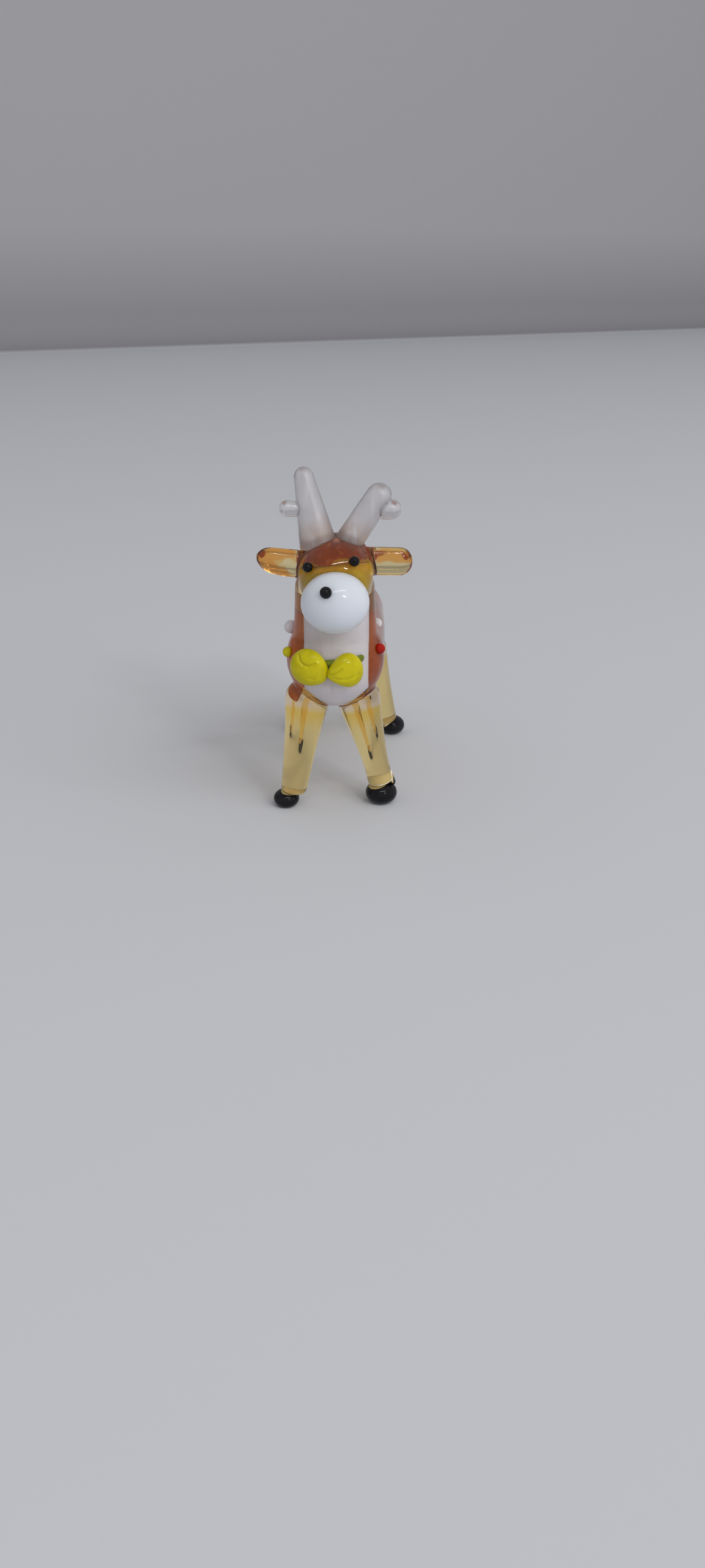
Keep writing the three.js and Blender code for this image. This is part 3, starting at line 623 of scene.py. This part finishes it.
def along_line(corner, line, scale):
    """The distance of a place from a line drawn on a lobe's face, across and up, in millimetres."""
    here = Vector((corner.x, corner.z)) / MM
    nearest = math.inf
    for start, end in zip(line, line[1:]):
        a = Vector((start[0] * scale[0], start[1] * scale[1]))
        b = Vector((end[0] * scale[0], end[1] * scale[1]))
        share = max(0, min(1, (here - a).dot(b - a) / (b - a).length_squared))
        nearest = min(nearest, (here - a - (b - a) * share).length)
    return nearest


def draw_lobe(name):
    """A lobe of the bow: a pad that narrows to the knot, with creases pressed into its face."""
    form = LOBES[name]
    side, wide, tall = form["side"], form["wide"], form["tall"]
    turn_poles = (0, math.radians(90), 0)
    bpy.ops.mesh.primitive_uv_sphere_add(segments=180, ring_count=130, radius=0.5 * MM, rotation=turn_poles)
    pad = named(name + "_lobe_glass")
    pad.scale = (tall, LOBE_THICK, wide)
    settle(pad)
    places = sorted({round(corner.co.x / MM, 4) for corner in pad.data.vertices})
    open_mesh(pad)
    for x in places[1:-1]:
        to_knot = max(0, 0.5 - side * x / wide)
        pick(pad, lambda co: abs(co.x / MM - x) < 1e-3)
        bpy.ops.transform.resize(value=(1, 1, 1 - form["narrow"] * to_knot ** 2), center_override=(0, 0, 0))
    for crease in CREASES[name]:
        pick(pad, lambda co: co.y < 0 and along_line(co, crease["line"], (wide, tall)) < CREASE_HALF_WIDE)
        bpy.ops.transform.translate(value=(0, crease["deep"] * MM, 0), use_proportional_edit=True,
                                    proportional_edit_falloff="SHARP", proportional_size=crease["reach"] * MM)
    pick(pad, lambda co: co.y < 0)
    bpy.ops.mesh.vertices_smooth(factor=0.5, repeat=3)
    close_mesh()
    pad.rotation_euler = (Matrix.Rotation(math.radians(side * LOBE_TURN), 3, "Z")
                          @ Matrix.Rotation(math.radians(form["tilt"]), 3, "Y")).to_euler()
    seat = chest_front(BOW_ASIDE + side * (wide / 2 - form["lap"]), BOW_Z - form["drop"])
    pad.location = place(seat + Vector((0, LOBE_SUNK - LOBE_THICK / 2, 0)))
    settle(pad)
    smooth(pad)
    return pad


# Beads and hooves

BEADS = {
    "left_red_bead": {"size": 1.5, "slot": "red_glass"},
    "left_white_bead": {"size": 1.5, "slot": "white_glass"},
    "right_yellow_bead": {"size": 1.5, "slot": "yellow_glass"},
    "right_white_bead": {"size": 1.9, "slot": "white_glass"},
}


def draw_bead(node, size):
    """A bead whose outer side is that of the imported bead, and whose inner side is sunk in the glass."""
    low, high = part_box(node)
    middle = (low + high) / 2 / MM
    outer = high.x / MM - size / 2 if middle.x > 0 else low.x / MM + size / 2
    return squash_ball(node + "_glass", (outer, middle.y - LEG_LINE, middle.z), (size, size, size))


# How deep inside the leg the outer and inner sides of a cup's lining lie
CUP_OUTER, CUP_INNER = 0.12, 0.32
LIP_SIZES = [(0, 0.85, 1.8), (0.5, 0.55, 1.4), (1, 0.3, 0.8)]
LIP_DOMES = (0.5, 0.8)
LIP_LONG, LIP_SUNK, LIP_DEPTH = 2.6, 0.6, 0.28


def draw_cup(corner):
    """The lining of a hoof's cup: a shell just inside the leg's end, which carries the painted reflection of
    the bright floor in pale amber.
    """
    foot, along = leg_end(corner)
    cup = draw_leg(corner, CUP_OUTER)
    shape = HOOVES[corner]
    cut_away(cup, foot + along * shape["lining"], (along + BACK * shape["slant"]).normalized())
    cap_holes(cup)
    return cup


def draw_lip(corner):
    """A thin lip of black glass that was pulled up the outer side of a leg's end."""
    foot, along = leg_end(corner)
    outward = (LEFT - along * along.dot(LEFT)).normalized()
    seat = foot + outward * (leg_sizes(corner)[-1][1] / 2 - LIP_DEPTH)
    start, end = seat - along * LIP_SUNK, seat + along * (LIP_LONG - LIP_SUNK)
    return draw_rod("hoof_lip", start, end, LIP_SIZES, LIP_DOMES, across=outward)


def draw_hoof(corner):
    """A hoof: a ball flattened on its sole, with a cup in its top where the leg's end sits."""
    shape, foot = HOOVES[corner], Vector(LEGS[corner]["foot"])
    side = 1 if foot.x > 0 else -1
    centre = Vector((foot.x + side * shape["out"], foot.y, shape["tall"] / 2 - HOOF_SOLE))
    hoof = squash_ball(corner + "_hoof_glass", centre, (shape["wide"], shape["wide"], shape["tall"]),
                       segments=64, rings=48)
    if corner == "front_left":
        hoof = fuse(corner + "_hoof_glass", [draw_lip(corner), hoof], voxel=0.1, passes=4)
    for operation, form in (("UNION", draw_cup(corner)), ("DIFFERENCE", draw_leg(corner, CUP_INNER))):
        apply_modifier(hoof, "BOOLEAN", operation=operation, object=form, solver="EXACT")
        bpy.data.objects.remove(form)
    open_mesh(hoof)
    pick(hoof, lambda co: co.z < 0)
    bpy.ops.transform.resize(value=(1, 1, 0), center_override=(0, 0, 0))
    close_mesh()
    smooth(hoof)
    return hoof


# Node groups for what the glasses share

def new_group(name, inputs, outputs):
    """A node group, with the sockets that come in and go out. An input's value holds until it is set."""
    group = bpy.data.node_groups.new(name, "ShaderNodeTree")
    for label, kind, value in inputs:
        socket = group.interface.new_socket(name=label, in_out="INPUT", socket_type=kind)
        if value is not None:
            socket.default_value = value
    for label, kind in outputs:
        group.interface.new_socket(name=label, in_out="OUTPUT", socket_type=kind)
    return group, group.nodes.new("NodeGroupInput").outputs, group.nodes.new("NodeGroupOutput").inputs


def add(tree, kind, sockets=None, **settings):
    """Adds a node. Each of its sockets is given a value, or another node's output to be linked to."""
    node = tree.nodes.new(kind)
    for name, value in settings.items():
        setattr(node, name, value)
    for name, value in (sockets or {}).items():
        if isinstance(value, bpy.types.NodeSocket):
            tree.links.new(value, node.inputs[name])
        else:
            node.inputs[name].default_value = value
    return node


def make_draw_lines():
    """Fine lines along a rod, left as the glass was drawn out, and a slow wave under them."""
    inputs = [("Vector", "NodeSocketVector", None), ("Scale", "NodeSocketVector", (1, 1, 1)),
              ("Strength", "NodeSocketFloat", 0.2), ("Height", "NodeSocketFloat", 0.0001)]
    outputs = [("Lines", "NodeSocketFloat"), ("Normal", "NodeSocketVector")]
    group, given, result = new_group("draw_lines", inputs, outputs)
    stretched = add(group, "ShaderNodeVectorMath", {0: given["Vector"], 1: given["Scale"]},
                    operation="MULTIPLY")
    noise = add(group, "ShaderNodeTexNoise", {"Vector": stretched.outputs["Vector"], "Scale": 1, "Detail": 2})
    height = noise.outputs["Fac"]
    bump = add(group, "ShaderNodeBump",
               {"Height": height, "Strength": given["Strength"], "Distance": given["Height"]})
    group.links.new(height, result["Lines"])
    group.links.new(bump.outputs["Normal"], result["Normal"])
    return group


def make_colour_drift():
    """A slow drift between two colours of one melt."""
    inputs = [("Vector", "NodeSocketVector", None), ("Scale", "NodeSocketFloat", 500),
              ("Colour", "NodeSocketColor", (1, 1, 1, 1)),
              ("Drifted Colour", "NodeSocketColor", (1, 1, 1, 1))]
    group, given, result = new_group("colour_drift", inputs, [("Colour", "NodeSocketColor")])
    noise = add(group, "ShaderNodeTexNoise",
                {"Vector": given["Vector"], "Scale": given["Scale"], "Detail": 3, "Distortion": 0.6})
    spread = add(group, "ShaderNodeMapRange",
                 {"Value": noise.outputs["Fac"], "From Min": 0.35, "From Max": 0.65})
    mix = add(group, "ShaderNodeMix",
              {"Factor": spread.outputs["Result"], "A": given["Colour"], "B": given["Drifted Colour"]},
              data_type="RGBA")
    group.links.new(mix.outputs["Result"], result["Colour"])
    return group


draw_lines = make_draw_lines()
colour_drift = make_colour_drift()


# Materials

def new_glass(name, roughness, transmission=0, coat=0, gloss=0.5, milky=0):
    """A glass with its gloss and its coordinates. The caller links its colour and its lines."""
    material = bpy.data.materials.new(name)
    material.use_nodes = True
    tree = material.node_tree
    shader = tree.nodes["Principled BSDF"]
    settings = {
        "Roughness": roughness, "IOR": 1.5, "Transmission Weight": transmission,
        "Specular IOR Level": gloss, "Coat Weight": coat, "Coat Roughness": 0.03,
        "Subsurface Weight": milky, "Subsurface Radius": (1, 0.95, 0.95), "Subsurface Scale": 2.6 * MM,
    }
    for socket, value in settings.items():
        shader.inputs[socket].default_value = value
    return material, tree, shader, add(tree, "ShaderNodeTexCoord").outputs["Object"]


def use_lines(tree, shader, vector, scale, strength, height):
    """Gives a glass its drawn lines, and returns their mask. Scale is per axis, height in millimetres."""
    given = {"Vector": vector, "Scale": scale, "Strength": strength, "Height": height * MM}
    lines = add(tree, "ShaderNodeGroup", given, node_tree=draw_lines)
    tree.links.new(lines.outputs["Normal"], shader.inputs["Normal"])
    return lines.outputs["Lines"]


def use_drift(tree, vector, colour, drifted, scale):
    """A colour that drifts slowly from place to place."""
    given = {"Vector": vector, "Scale": scale, "Colour": (*colour, 1), "Drifted Colour": (*drifted, 1)}
    return add(tree, "ShaderNodeGroup", given, node_tree=colour_drift).outputs["Colour"]


# How close the drawn lines of most glasses lie across and along a piece
ROD_LINES = (900, 900, 120)


def opaque_glass(name, colour, drifted, roughness):
    """A glass of one colour that drifts a little."""
    material, tree, shader, vector = new_glass(name, roughness, gloss=0.2)
    tree.links.new(use_drift(tree, vector, colour, drifted, scale=400), shader.inputs["Base Color"])
    use_lines(tree, shader, vector, ROD_LINES, strength=0.25, height=0.02)
    return material


def wobbled(tree, vector, scale, reach):
    """Coordinates that drift a little from place to place, so that an edge drawn with them runs unevenly."""
    noise = add(tree, "ShaderNodeTexNoise", {"Vector": vector, "Scale": scale, "Detail": 1})
    shift = add(tree, "ShaderNodeVectorMath", {0: noise.outputs["Color"], 1: [2 * reach * MM] * 3, 2: vector},
                operation="MULTIPLY_ADD")
    centred = add(tree, "ShaderNodeVectorMath", {0: shift.outputs["Vector"], 1: [-reach * MM] * 3},
                  operation="ADD")
    return centred.outputs["Vector"]


def faded(tree, value, start, end):
    """A mask that rises from 0 to 1 as a value goes from its start to its end."""
    ramp = add(tree, "ShaderNodeMapRange", {"Value": value, "From Min": start, "From Max": end},
               interpolation_type="SMOOTHSTEP")
    return ramp.outputs["Result"]


def zone(tree, vector, point, inner, outer):
    """A mask that is 1 inside a ball and fades to 0 at its outer radius. Radii are in millimetres."""
    distance = add(tree, "ShaderNodeVectorMath", {0: vector, 1: place(point)}, operation="DISTANCE")
    return faded(tree, distance.outputs["Value"], outer * MM, inner * MM)


def past(tree, vector, point, normal, fade):
    """A mask that is 1 past a plane, on the side that its normal points to, and fades to 0 before it."""
    reach = add(tree, "ShaderNodeVectorMath", {0: vector, 1: normal}, operation="DOT_PRODUCT")
    level = place(point).dot(normal)
    return faded(tree, reach.outputs["Value"], level - fade * MM, level)


def along_rod(tree, vector, start, toward, radius, fade):
    """A mask that is 1 near a rod's axis, past its start, and fades to 0 at its radius."""
    line = (Vector(toward) - Vector(start)).normalized()
    reach = add(tree, "ShaderNodeVectorMath", {0: vector, 1: place(start)}, operation="SUBTRACT")
    across = add(tree, "ShaderNodeVectorMath", {0: reach.outputs["Vector"], 1: line},
                 operation="CROSS_PRODUCT")
    away = add(tree, "ShaderNodeVectorMath", {0: across.outputs["Vector"]}, operation="LENGTH")
    near = faded(tree, away.outputs["Value"], radius * MM, (radius - fade) * MM)
    beyond = past(tree, vector, start, line, fade)
    return add(tree, "ShaderNodeMath", {0: near, 1: beyond}, operation="MULTIPLY").outputs["Value"]


def blend_colour(tree, mask, base, colour):
    """A base colour that gives way to another where a mask is 1."""
    base, colour = ((*given, 1) if isinstance(given, tuple) else given for given in (base, colour))
    mix = add(tree, "ShaderNodeMix", {"Factor": mask, "A": base, "B": colour}, data_type="RGBA")
    return mix.outputs["Result"]


# What passes through the clear glass, from part to part
TRUNK_TINT = (0.97, 0.9, 0.86)
CAP_TINT = (0.97, 0.82, 0.7)
LEG_TOP_TINT = (1, 0.74, 0.2)
LEG_TINT = (1, 0.82, 0.41)
HEAD_TINT = (1, 0.61, 0.015)
CHEEK_TINT = (1, 0.83, 0.52)
CROWN_TINT = (0.95, 0.82, 0.66)
EAR_TINT = (1, 0.86, 0.5)
EAR_TOP_TINT = (1, 0.5, 0.12)
EAR_SPOT_TINT = (1, 0.46, 0.09)
DEEP_AMBER = (0.951, 0.754, 0.114)

# Where the tints of the clear glass meet
BELLY_Z = 19.5
FACE_Y = HEAD_AT.y - 3
HIP_CAP = 5.7
HIP_CAP_SHIFT = Vector((0, 1.2, 0.5))
HEAD_TINT_MIDDLE = HEAD_AT + Vector((0, 0, -0.8))
EAR_MIDDLE_OUT, EAR_MIDDLE_BACK, EAR_MIDDLE_RAISE = 8.8, 0.5, 1
EAR_EDGE_Z = HEAD_AT.z + 1.2
EAR_SPOT = (-8.2, 0, HEAD_AT.z + 0.9)


def amber_glass():
    """Clear glass with a little amber all through, deeper in the head and the legs."""
    material, tree, shader, vector = new_glass("amber_glass", 0.01, transmission=1, gloss=0.3)
    uneven = wobbled(tree, vector, scale=350, reach=1.3)
    below = past(tree, vector, (0, 0, BELLY_Z), -UP, fade=1)
    colour = blend_colour(tree, below, TRUNK_TINT, LEG_TINT)
    for leg in LEGS.values():
        cap = Vector(leg["hip"]) + HIP_CAP_SHIFT
        leg_top = zone(tree, vector, cap, inner=HIP_CAP + 0.4, outer=HIP_CAP + 3)
        colour = blend_colour(tree, leg_top, colour, LEG_TOP_TINT)
        in_cap = zone(tree, vector, cap, inner=HIP_CAP - 0.1, outer=HIP_CAP + 0.1)
        colour = blend_colour(tree, in_cap, colour, CAP_TINT)
    face = past(tree, vector, (0, FACE_Y, 0), -BACK, fade=1.5)
    face_colour = blend_colour(tree, face, CHEEK_TINT, HEAD_TINT)
    in_head = zone(tree, vector, HEAD_TINT_MIDDLE, inner=6.3, outer=7.4)
    colour = blend_colour(tree, in_head, colour, face_colour)
    at_crown = past(tree, vector, CROWN_POINT, CROWN_UP, fade=0.4)
    colour = blend_colour(tree, at_crown, colour, CROWN_TINT)
    ear_top = past(tree, uneven, (0, 0, EAR_EDGE_Z), UP, fade=0.3)
    ear_colour = blend_colour(tree, ear_top, EAR_TINT, EAR_TOP_TINT)
    outer_low = past(tree, uneven, EAR_SPOT, Vector((-0.6, 0, -0.8)).normalized(), fade=0.3)
    ear_colour = blend_colour(tree, outer_low, ear_colour, EAR_SPOT_TINT)
    for shape in EARS.values():
        ear_middle = HEAD_AT + Vector((shape["side"] * EAR_MIDDLE_OUT, EAR_MIDDLE_BACK, EAR_MIDDLE_RAISE))
        in_ear = zone(tree, vector, ear_middle, inner=3.4, outer=4)
        colour = blend_colour(tree, in_ear, colour, ear_colour)
    tree.links.new(colour, shader.inputs["Base Color"])
    use_lines(tree, shader, vector, (420, 420, 420), strength=0.25, height=0.05)
    absorption = add(tree, "ShaderNodeVolumeAbsorption", {"Color": (*DEEP_AMBER, 1), "Density": 60})
    tree.links.new(absorption.outputs["Volume"], tree.nodes["Material Output"].inputs["Volume"])
    return material


OPAL, OPAL_DRIFTED = (0.82, 0.79, 0.81), (0.74, 0.7, 0.72)
OPAL_FOOT, OPAL_STREAK = (0.7, 0.56, 0.49), (0.9, 0.88, 0.9)


def opal_glass():
    """Hazy glass with fine streaks, warmer at the crown."""
    material, tree, shader, vector = new_glass("opal_glass", 0.3, transmission=0.72, coat=1, milky=1)
    colour = use_drift(tree, vector, OPAL, OPAL_DRIFTED, scale=300)
    at_foot = zone(tree, vector, HEAD_AT, inner=5, outer=8.5)
    colour = blend_colour(tree, at_foot, colour, OPAL_FOOT)
    lines = use_lines(tree, shader, vector, (1100, 1100, 120), strength=0.9, height=0.06)
    streaks = faded(tree, lines, start=0.5, end=0.75)
    colour = blend_colour(tree, streaks, colour, OPAL_STREAK)
    tree.links.new(colour, shader.inputs["Base Color"])
    return material


CLEAR, CLEAR_DRIFTED = (0.95, 0.93, 0.95), (0.9, 0.87, 0.89)


def clear_glass():
    """Nearly clear glass, whose lines run across the figurine as the tines do."""
    material, tree, shader, vector = new_glass("clear_glass", 0.14, transmission=0.85, coat=1, milky=1)
    colour = use_drift(tree, vector, CLEAR, CLEAR_DRIFTED, scale=500)
    tree.links.new(colour, shader.inputs["Base Color"])
    use_lines(tree, shader, vector, (120, 700, 700), strength=0.4, height=0.04)
    return material


BIB_ROUGHNESS, MUZZLE_ROUGHNESS = 0.4, 0.15
BIB_WHITE, BIB_DRIFTED, BIB_STREAK = (0.66, 0.62, 0.65), (0.6, 0.57, 0.61), (0.58, 0.54, 0.57)
MUZZLE_WHITE = (0.68, 0.71, 0.765)
# Painted light: a bright amber for the muzzle's root, making up for the shade of the crown and muzzle
ROOT_PAINTED_LIGHT = (1, 0.74, 0.16)


def white_glass():
    """White glass: rosy on the chest, brightest on the muzzle, and painted bright amber deep in the head, as
    painted light on the root that the crown and muzzle shade.
    """
    material, tree, shader, vector = new_glass("white_glass", MUZZLE_ROUGHNESS, gloss=0.35, milky=1)
    colour = use_drift(tree, vector, BIB_WHITE, BIB_DRIFTED, scale=300)
    lines = use_lines(tree, shader, vector, (1300, 400, 70), strength=0.2, height=0.02)
    streaks = faded(tree, lines, start=0.55, end=0.8)
    colour = blend_colour(tree, streaks, colour, BIB_STREAK)
    muzzle = on_head(MUZZLE_ASIDE, -MUZZLE_REACH, -MUZZLE_DROP)
    on_muzzle = zone(tree, vector, muzzle, inner=5, outer=5.4)
    colour = blend_colour(tree, on_muzzle, colour, MUZZLE_WHITE)
    gloss = add(tree, "ShaderNodeMapRange",
                {"Value": on_muzzle, "To Min": BIB_ROUGHNESS, "To Max": MUZZLE_ROUGHNESS})
    tree.links.new(gloss.outputs["Result"], shader.inputs["Roughness"])
    # Painted light: the root deep in the head is painted bright amber to make up for the shade of the crown
    # and muzzle
    colour = blend_colour(tree, zone(tree, vector, HEAD_AT, inner=4.6, outer=5.2), colour, ROOT_PAINTED_LIGHT)
    tree.links.new(colour, shader.inputs["Base Color"])
    return material


BLACK, BLACK_DRIFTED = (0.004, 0.004, 0.006), (0.012, 0.011, 0.013)
# Painted reflection: the pale amber that stands for the bright floor seen through a leg's end, and a darker
# amber ring at its rim
CUP_PAINTED_REFLECTION = (0.96, 0.88, 0.7)
CUP_RIM_REFLECTION_EDGE = (0.5, 0.38, 0.15)
CUP_FLOOR_SHARE = 0.014
CUP_LINING_SPARE = 0.05


def black_glass():
    """Black glass. In the cups it is painted pale amber, a painted reflection of the bright floor seen
    through the legs' ends, with a darker amber ring at the rim.
    """
    material, tree, shader, vector = new_glass("black_glass", 0.06, gloss=0.2)
    colour = use_drift(tree, vector, BLACK, BLACK_DRIFTED, scale=400)
    for corner, leg in LEGS.items():
        radius = leg_sizes(corner)[-1][1] / 2
        floor = Vector(leg["foot"]).lerp(Vector(leg["hip"]), CUP_FLOOR_SHARE)
        rim = along_rod(tree, vector, leg["foot"], leg["hip"], radius, fade=0.04)
        lining = along_rod(tree, vector, floor, leg["hip"], radius - CUP_OUTER + CUP_LINING_SPARE, fade=0.03)
        colour = blend_colour(tree, rim, colour, CUP_RIM_REFLECTION_EDGE)
        colour = blend_colour(tree, lining, colour, CUP_PAINTED_REFLECTION)
    tree.links.new(colour, shader.inputs["Base Color"])
    use_lines(tree, shader, vector, ROD_LINES, strength=0.2, height=0.02)
    return material


BROWN, BROWN_DRIFTED = (0.6, 0.16, 0.022), (0.4, 0.09, 0.014)
# LIT_BROWN is painted light: a lighter, more orange copy of the brown for the figurine's right side
LIT_BROWN, LIT_BROWN_DRIFTED = (0.85, 0.26, 0.03), (0.6, 0.16, 0.02)
CROWN_BROWN, CROWN_BROWN_DRIFTED = (0.42, 0.085, 0.012), (0.26, 0.05, 0.008)
NAPE_BROWN, WORN_BROWN, BROWN_WISP = (1, 0.77, 0.54), (0.5, 0.25, 0.025), (0.7, 0.26, 0.09)
LIT_SIDE_X = -4.2
WORN_DEPTH = 0.2
NAPE = Vector((0, 6, NECK_TOP - 5))


def brown_glass():
    """Red-brown glass with wisps. It is deepest on the forehead and thins out to amber at the nape."""
    material, tree, shader, vector = new_glass("brown_glass", 0.3, gloss=0)
    uneven = wobbled(tree, vector, scale=450, reach=1.6)
    colour = use_drift(tree, vector, BROWN, BROWN_DRIFTED, scale=260)
    lit = use_drift(tree, vector, LIT_BROWN, LIT_BROWN_DRIFTED, scale=260)
    # Painted light: past LIT_SIDE_X, the figurine's right side is painted the lighter brown
    colour = blend_colour(tree, past(tree, vector, (LIT_SIDE_X, 0, 0), -LEFT, fade=1.5), colour, lit)
    colour = blend_colour(tree, zone(tree, vector, NAPE, inner=5, outer=7), colour, NAPE_BROWN)
    crown = use_drift(tree, vector, CROWN_BROWN, CROWN_BROWN_DRIFTED, scale=260)
    worn = past(tree, uneven, CROWN_POINT + CROWN_UP * WORN_DEPTH, -CROWN_UP, fade=0.12)
    crown = blend_colour(tree, worn, crown, WORN_BROWN)
    colour = blend_colour(tree, zone(tree, vector, HEAD_AT, inner=7, outer=7.5), colour, crown)
    lines = use_lines(tree, shader, vector, ROD_LINES, strength=0.25, height=0.02)
    wisps = faded(tree, lines, start=0.55, end=0.8)
    tree.links.new(blend_colour(tree, wisps, colour, BROWN_WISP), shader.inputs["Base Color"])
    return material


MATERIALS = {
    "amber_glass": amber_glass(),
    "opal_glass": opal_glass(),
    "clear_glass": clear_glass(),
    "white_glass": white_glass(),
    "brown_glass": brown_glass(),
    "black_glass": black_glass(),
    "green_glass": opaque_glass("green_glass", (0.13, 0.16, 0.004), (0.2, 0.24, 0.03), roughness=0.1),
    "yellow_glass": opaque_glass("yellow_glass", (0.62, 0.54, 0.008), (0.5, 0.43, 0.005), roughness=0.1),
    "red_glass": opaque_glass("red_glass", (0.45, 0.012, 0.006), (0.28, 0.006, 0.003), roughness=0.08),
}


# Putting the figurine together

def finish_piece(piece, slot, *nodes):
    """Gives a piece its glass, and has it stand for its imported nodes."""
    piece.data.materials.clear()
    piece.data.materials.append(MATERIALS[slot])
    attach(piece, "root")
    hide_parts(*nodes)


body_nodes = ["torso", "neck", "head", "left_ear", "right_ear", "tail", *(corner + "_leg" for corner in LEGS)]
finish_piece(glass_body, "amber_glass", *body_nodes)
finish_piece(draw_bib(), "white_glass", "chest_bib")
finish_piece(draw_mantle(), "brown_glass", "back_stripe")
finish_piece(draw_crown(), "brown_glass", "crown_patch")
finish_piece(draw_muzzle(), "white_glass", "muzzle")
finish_piece(draw_nose(), "black_glass", "nose")
for side_name, eye in EYES.items():
    finish_piece(draw_eye(side_name, **eye), "black_glass", side_name + "_eye")
for side_name in ANTLERS:
    finish_piece(draw_antler(side_name), "opal_glass", side_name + "_antler")
    finish_piece(draw_tine(side_name), "clear_glass", side_name + "_antler_tine")
finish_piece(draw_stringer(), "green_glass", "collar_stringer")
for side_name in LOBES:
    finish_piece(draw_lobe(side_name), "yellow_glass", side_name + "_bow_lobe")
for bead, form in BEADS.items():
    finish_piece(draw_bead(bead, form["size"]), form["slot"], bead)
for corner in LEGS:
    finish_piece(draw_hoof(corner), "black_glass", corner + "_hoof")
bpy.data.objects.remove(skin)


# Stage, lamps and camera. The stage and the lamps are measured in metres.

FLOOR_WIDE, FLOOR_DEEP = 8, 4
WALL_TURN = math.radians(30)
WALL_AWAY, WALL_TALL = 0.95, 0.6
COVE, COVE_STEPS = 0.03, 12
FLOOR_COLOUR = (0.645, 0.655, 0.685)
WALL_LOW_COLOUR, WALL_HIGH_COLOUR = (0.33, 0.32, 0.34), (0.5, 0.49, 0.505)
WALL_SHADE_TALL, WALL_SHADE_SHARE = 0.4, 0.25


def draw_stage():
    """A pale floor that curves up into a grey wall behind the figurine."""
    bpy.ops.mesh.primitive_plane_add(size=1)
    sweep = named("floor_and_wall")
    sweep.scale = (FLOOR_WIDE, FLOOR_DEEP, 1)
    sweep.location = (0, WALL_AWAY - COVE - FLOOR_DEEP / 2, 0)
    settle(sweep)
    open_mesh(sweep)
    pick(sweep, lambda co: co.y > 0)
    for step in range(COVE_STEPS):
        first, last = (math.radians(90 * share / COVE_STEPS) for share in (step, step + 1))
        move = (0, COVE * (math.sin(last) - math.sin(first)), COVE * (math.cos(first) - math.cos(last)))
        bpy.ops.mesh.extrude_region_move(TRANSFORM_OT_translate={"value": move})
    bpy.ops.mesh.extrude_region_move(TRANSFORM_OT_translate={"value": (0, 0, WALL_TALL)})
    close_mesh()
    sweep.rotation_euler = (0, 0, WALL_TURN)
    settle(sweep)
    smooth(sweep)
    material = bpy.data.materials.new("stage_paint")
    material.use_nodes = True
    tree = material.node_tree
    shader = tree.nodes["Principled BSDF"]
    shader.inputs["Roughness"].default_value = 0.8
    shader.inputs["Specular IOR Level"].default_value = 0.05
    vector = add(tree, "ShaderNodeTexCoord").outputs["Object"]
    split = add(tree, "ShaderNodeSeparateXYZ", {0: vector})
    height = add(tree, "ShaderNodeMapRange", {"Value": split.outputs["Z"], "From Max": WALL_SHADE_TALL})
    ramp = add(tree, "ShaderNodeValToRGB", {"Fac": height.outputs["Result"]})
    ramp.color_ramp.elements[0].color = (*WALL_LOW_COLOUR, 1)
    ramp.color_ramp.elements[1].position = WALL_SHADE_SHARE
    ramp.color_ramp.elements[1].color = (*WALL_HIGH_COLOUR, 1)
    on_wall = past(tree, vector, (0, 0, 3), UP, fade=3)
    painted = blend_colour(tree, on_wall, FLOOR_COLOUR, ramp.outputs["Color"])
    tree.links.new(painted, shader.inputs["Base Color"])
    sweep.data.materials.append(material)


AIM = Vector((0, 0, 0.025))


def hang_lamp(name, direction, distance, wide, tall, radiance, roll=0):
    """A soft lamp that faces the figurine. Radiance 1 looks as bright as white paint in plain light."""
    lamp = bpy.data.lights.new(name, "AREA")
    lamp.shape = "RECTANGLE"
    lamp.size, lamp.size_y = wide, tall
    lamp.energy = radiance * math.pi * wide * tall
    holder = bpy.data.objects.new(name, lamp)
    bpy.context.scene.collection.objects.link(holder)
    toward = Vector(direction).normalized()
    holder.location = AIM + toward * distance
    turn = toward.to_track_quat("Z", "Y").to_matrix() @ Matrix.Rotation(roll, 3, "Z")
    holder.rotation_euler = turn.to_euler()
    return holder


HORIZON_LIGHT, ZENITH_LIGHT = 0.57, 0.4
ROOM_COLOUR = (0.97, 0.98, 1)


def light_scene():
    """A pale room, a soft lamp from the figurine's left, and two small lamps that glint in the glass."""
    world = bpy.data.worlds.new("pale_room")
    world.use_nodes = True
    tree = world.node_tree
    background = tree.nodes["Background"]
    background.inputs["Color"].default_value = (*ROOM_COLOUR, 1)
    split = add(tree, "ShaderNodeSeparateXYZ", {0: add(tree, "ShaderNodeTexCoord").outputs["Generated"]})
    climb = add(tree, "ShaderNodeMapRange",
                {"Value": split.outputs["Z"], "To Min": HORIZON_LIGHT, "To Max": ZENITH_LIGHT})
    tree.links.new(climb.outputs["Result"], background.inputs["Strength"])
    bpy.context.scene.world = world
    soft_key = hang_lamp("soft_key", (0.78, -0.55, 0.6), distance=1.3, wide=1, tall=1, radiance=1.7)
    soft_key.visible_glossy = False
    hang_lamp("long_lamp", (0.19, -0.59, 0.79), distance=1.3, wide=0.9, tall=0.025, radiance=36,
              roll=math.radians(4))
    hang_lamp("small_lamp", (0.463, -0.727, 0.508), distance=1.2, wide=0.2, tall=0.05, radiance=40,
              roll=math.radians(-40))


def set_camera():
    """The photograph's view: from the front, a little to the figurine's left, looking down 24 degrees."""
    lens = bpy.data.cameras.new("camera")
    lens.lens, lens.sensor_width = 27.195, 36
    lens.clip_start, lens.clip_end = 0.01, 20
    holder = bpy.data.objects.new("camera", lens)
    bpy.context.scene.collection.objects.link(holder)
    holder.location = Vector((9.941, -171.271, 75.226)) * MM
    holder.rotation_euler = (math.radians(65.9975), 0, math.radians(2.6701))
    bpy.context.scene.camera = holder


draw_stage()
light_scene()
set_camera()
bpy.context.scene.view_settings.view_transform = "Standard"
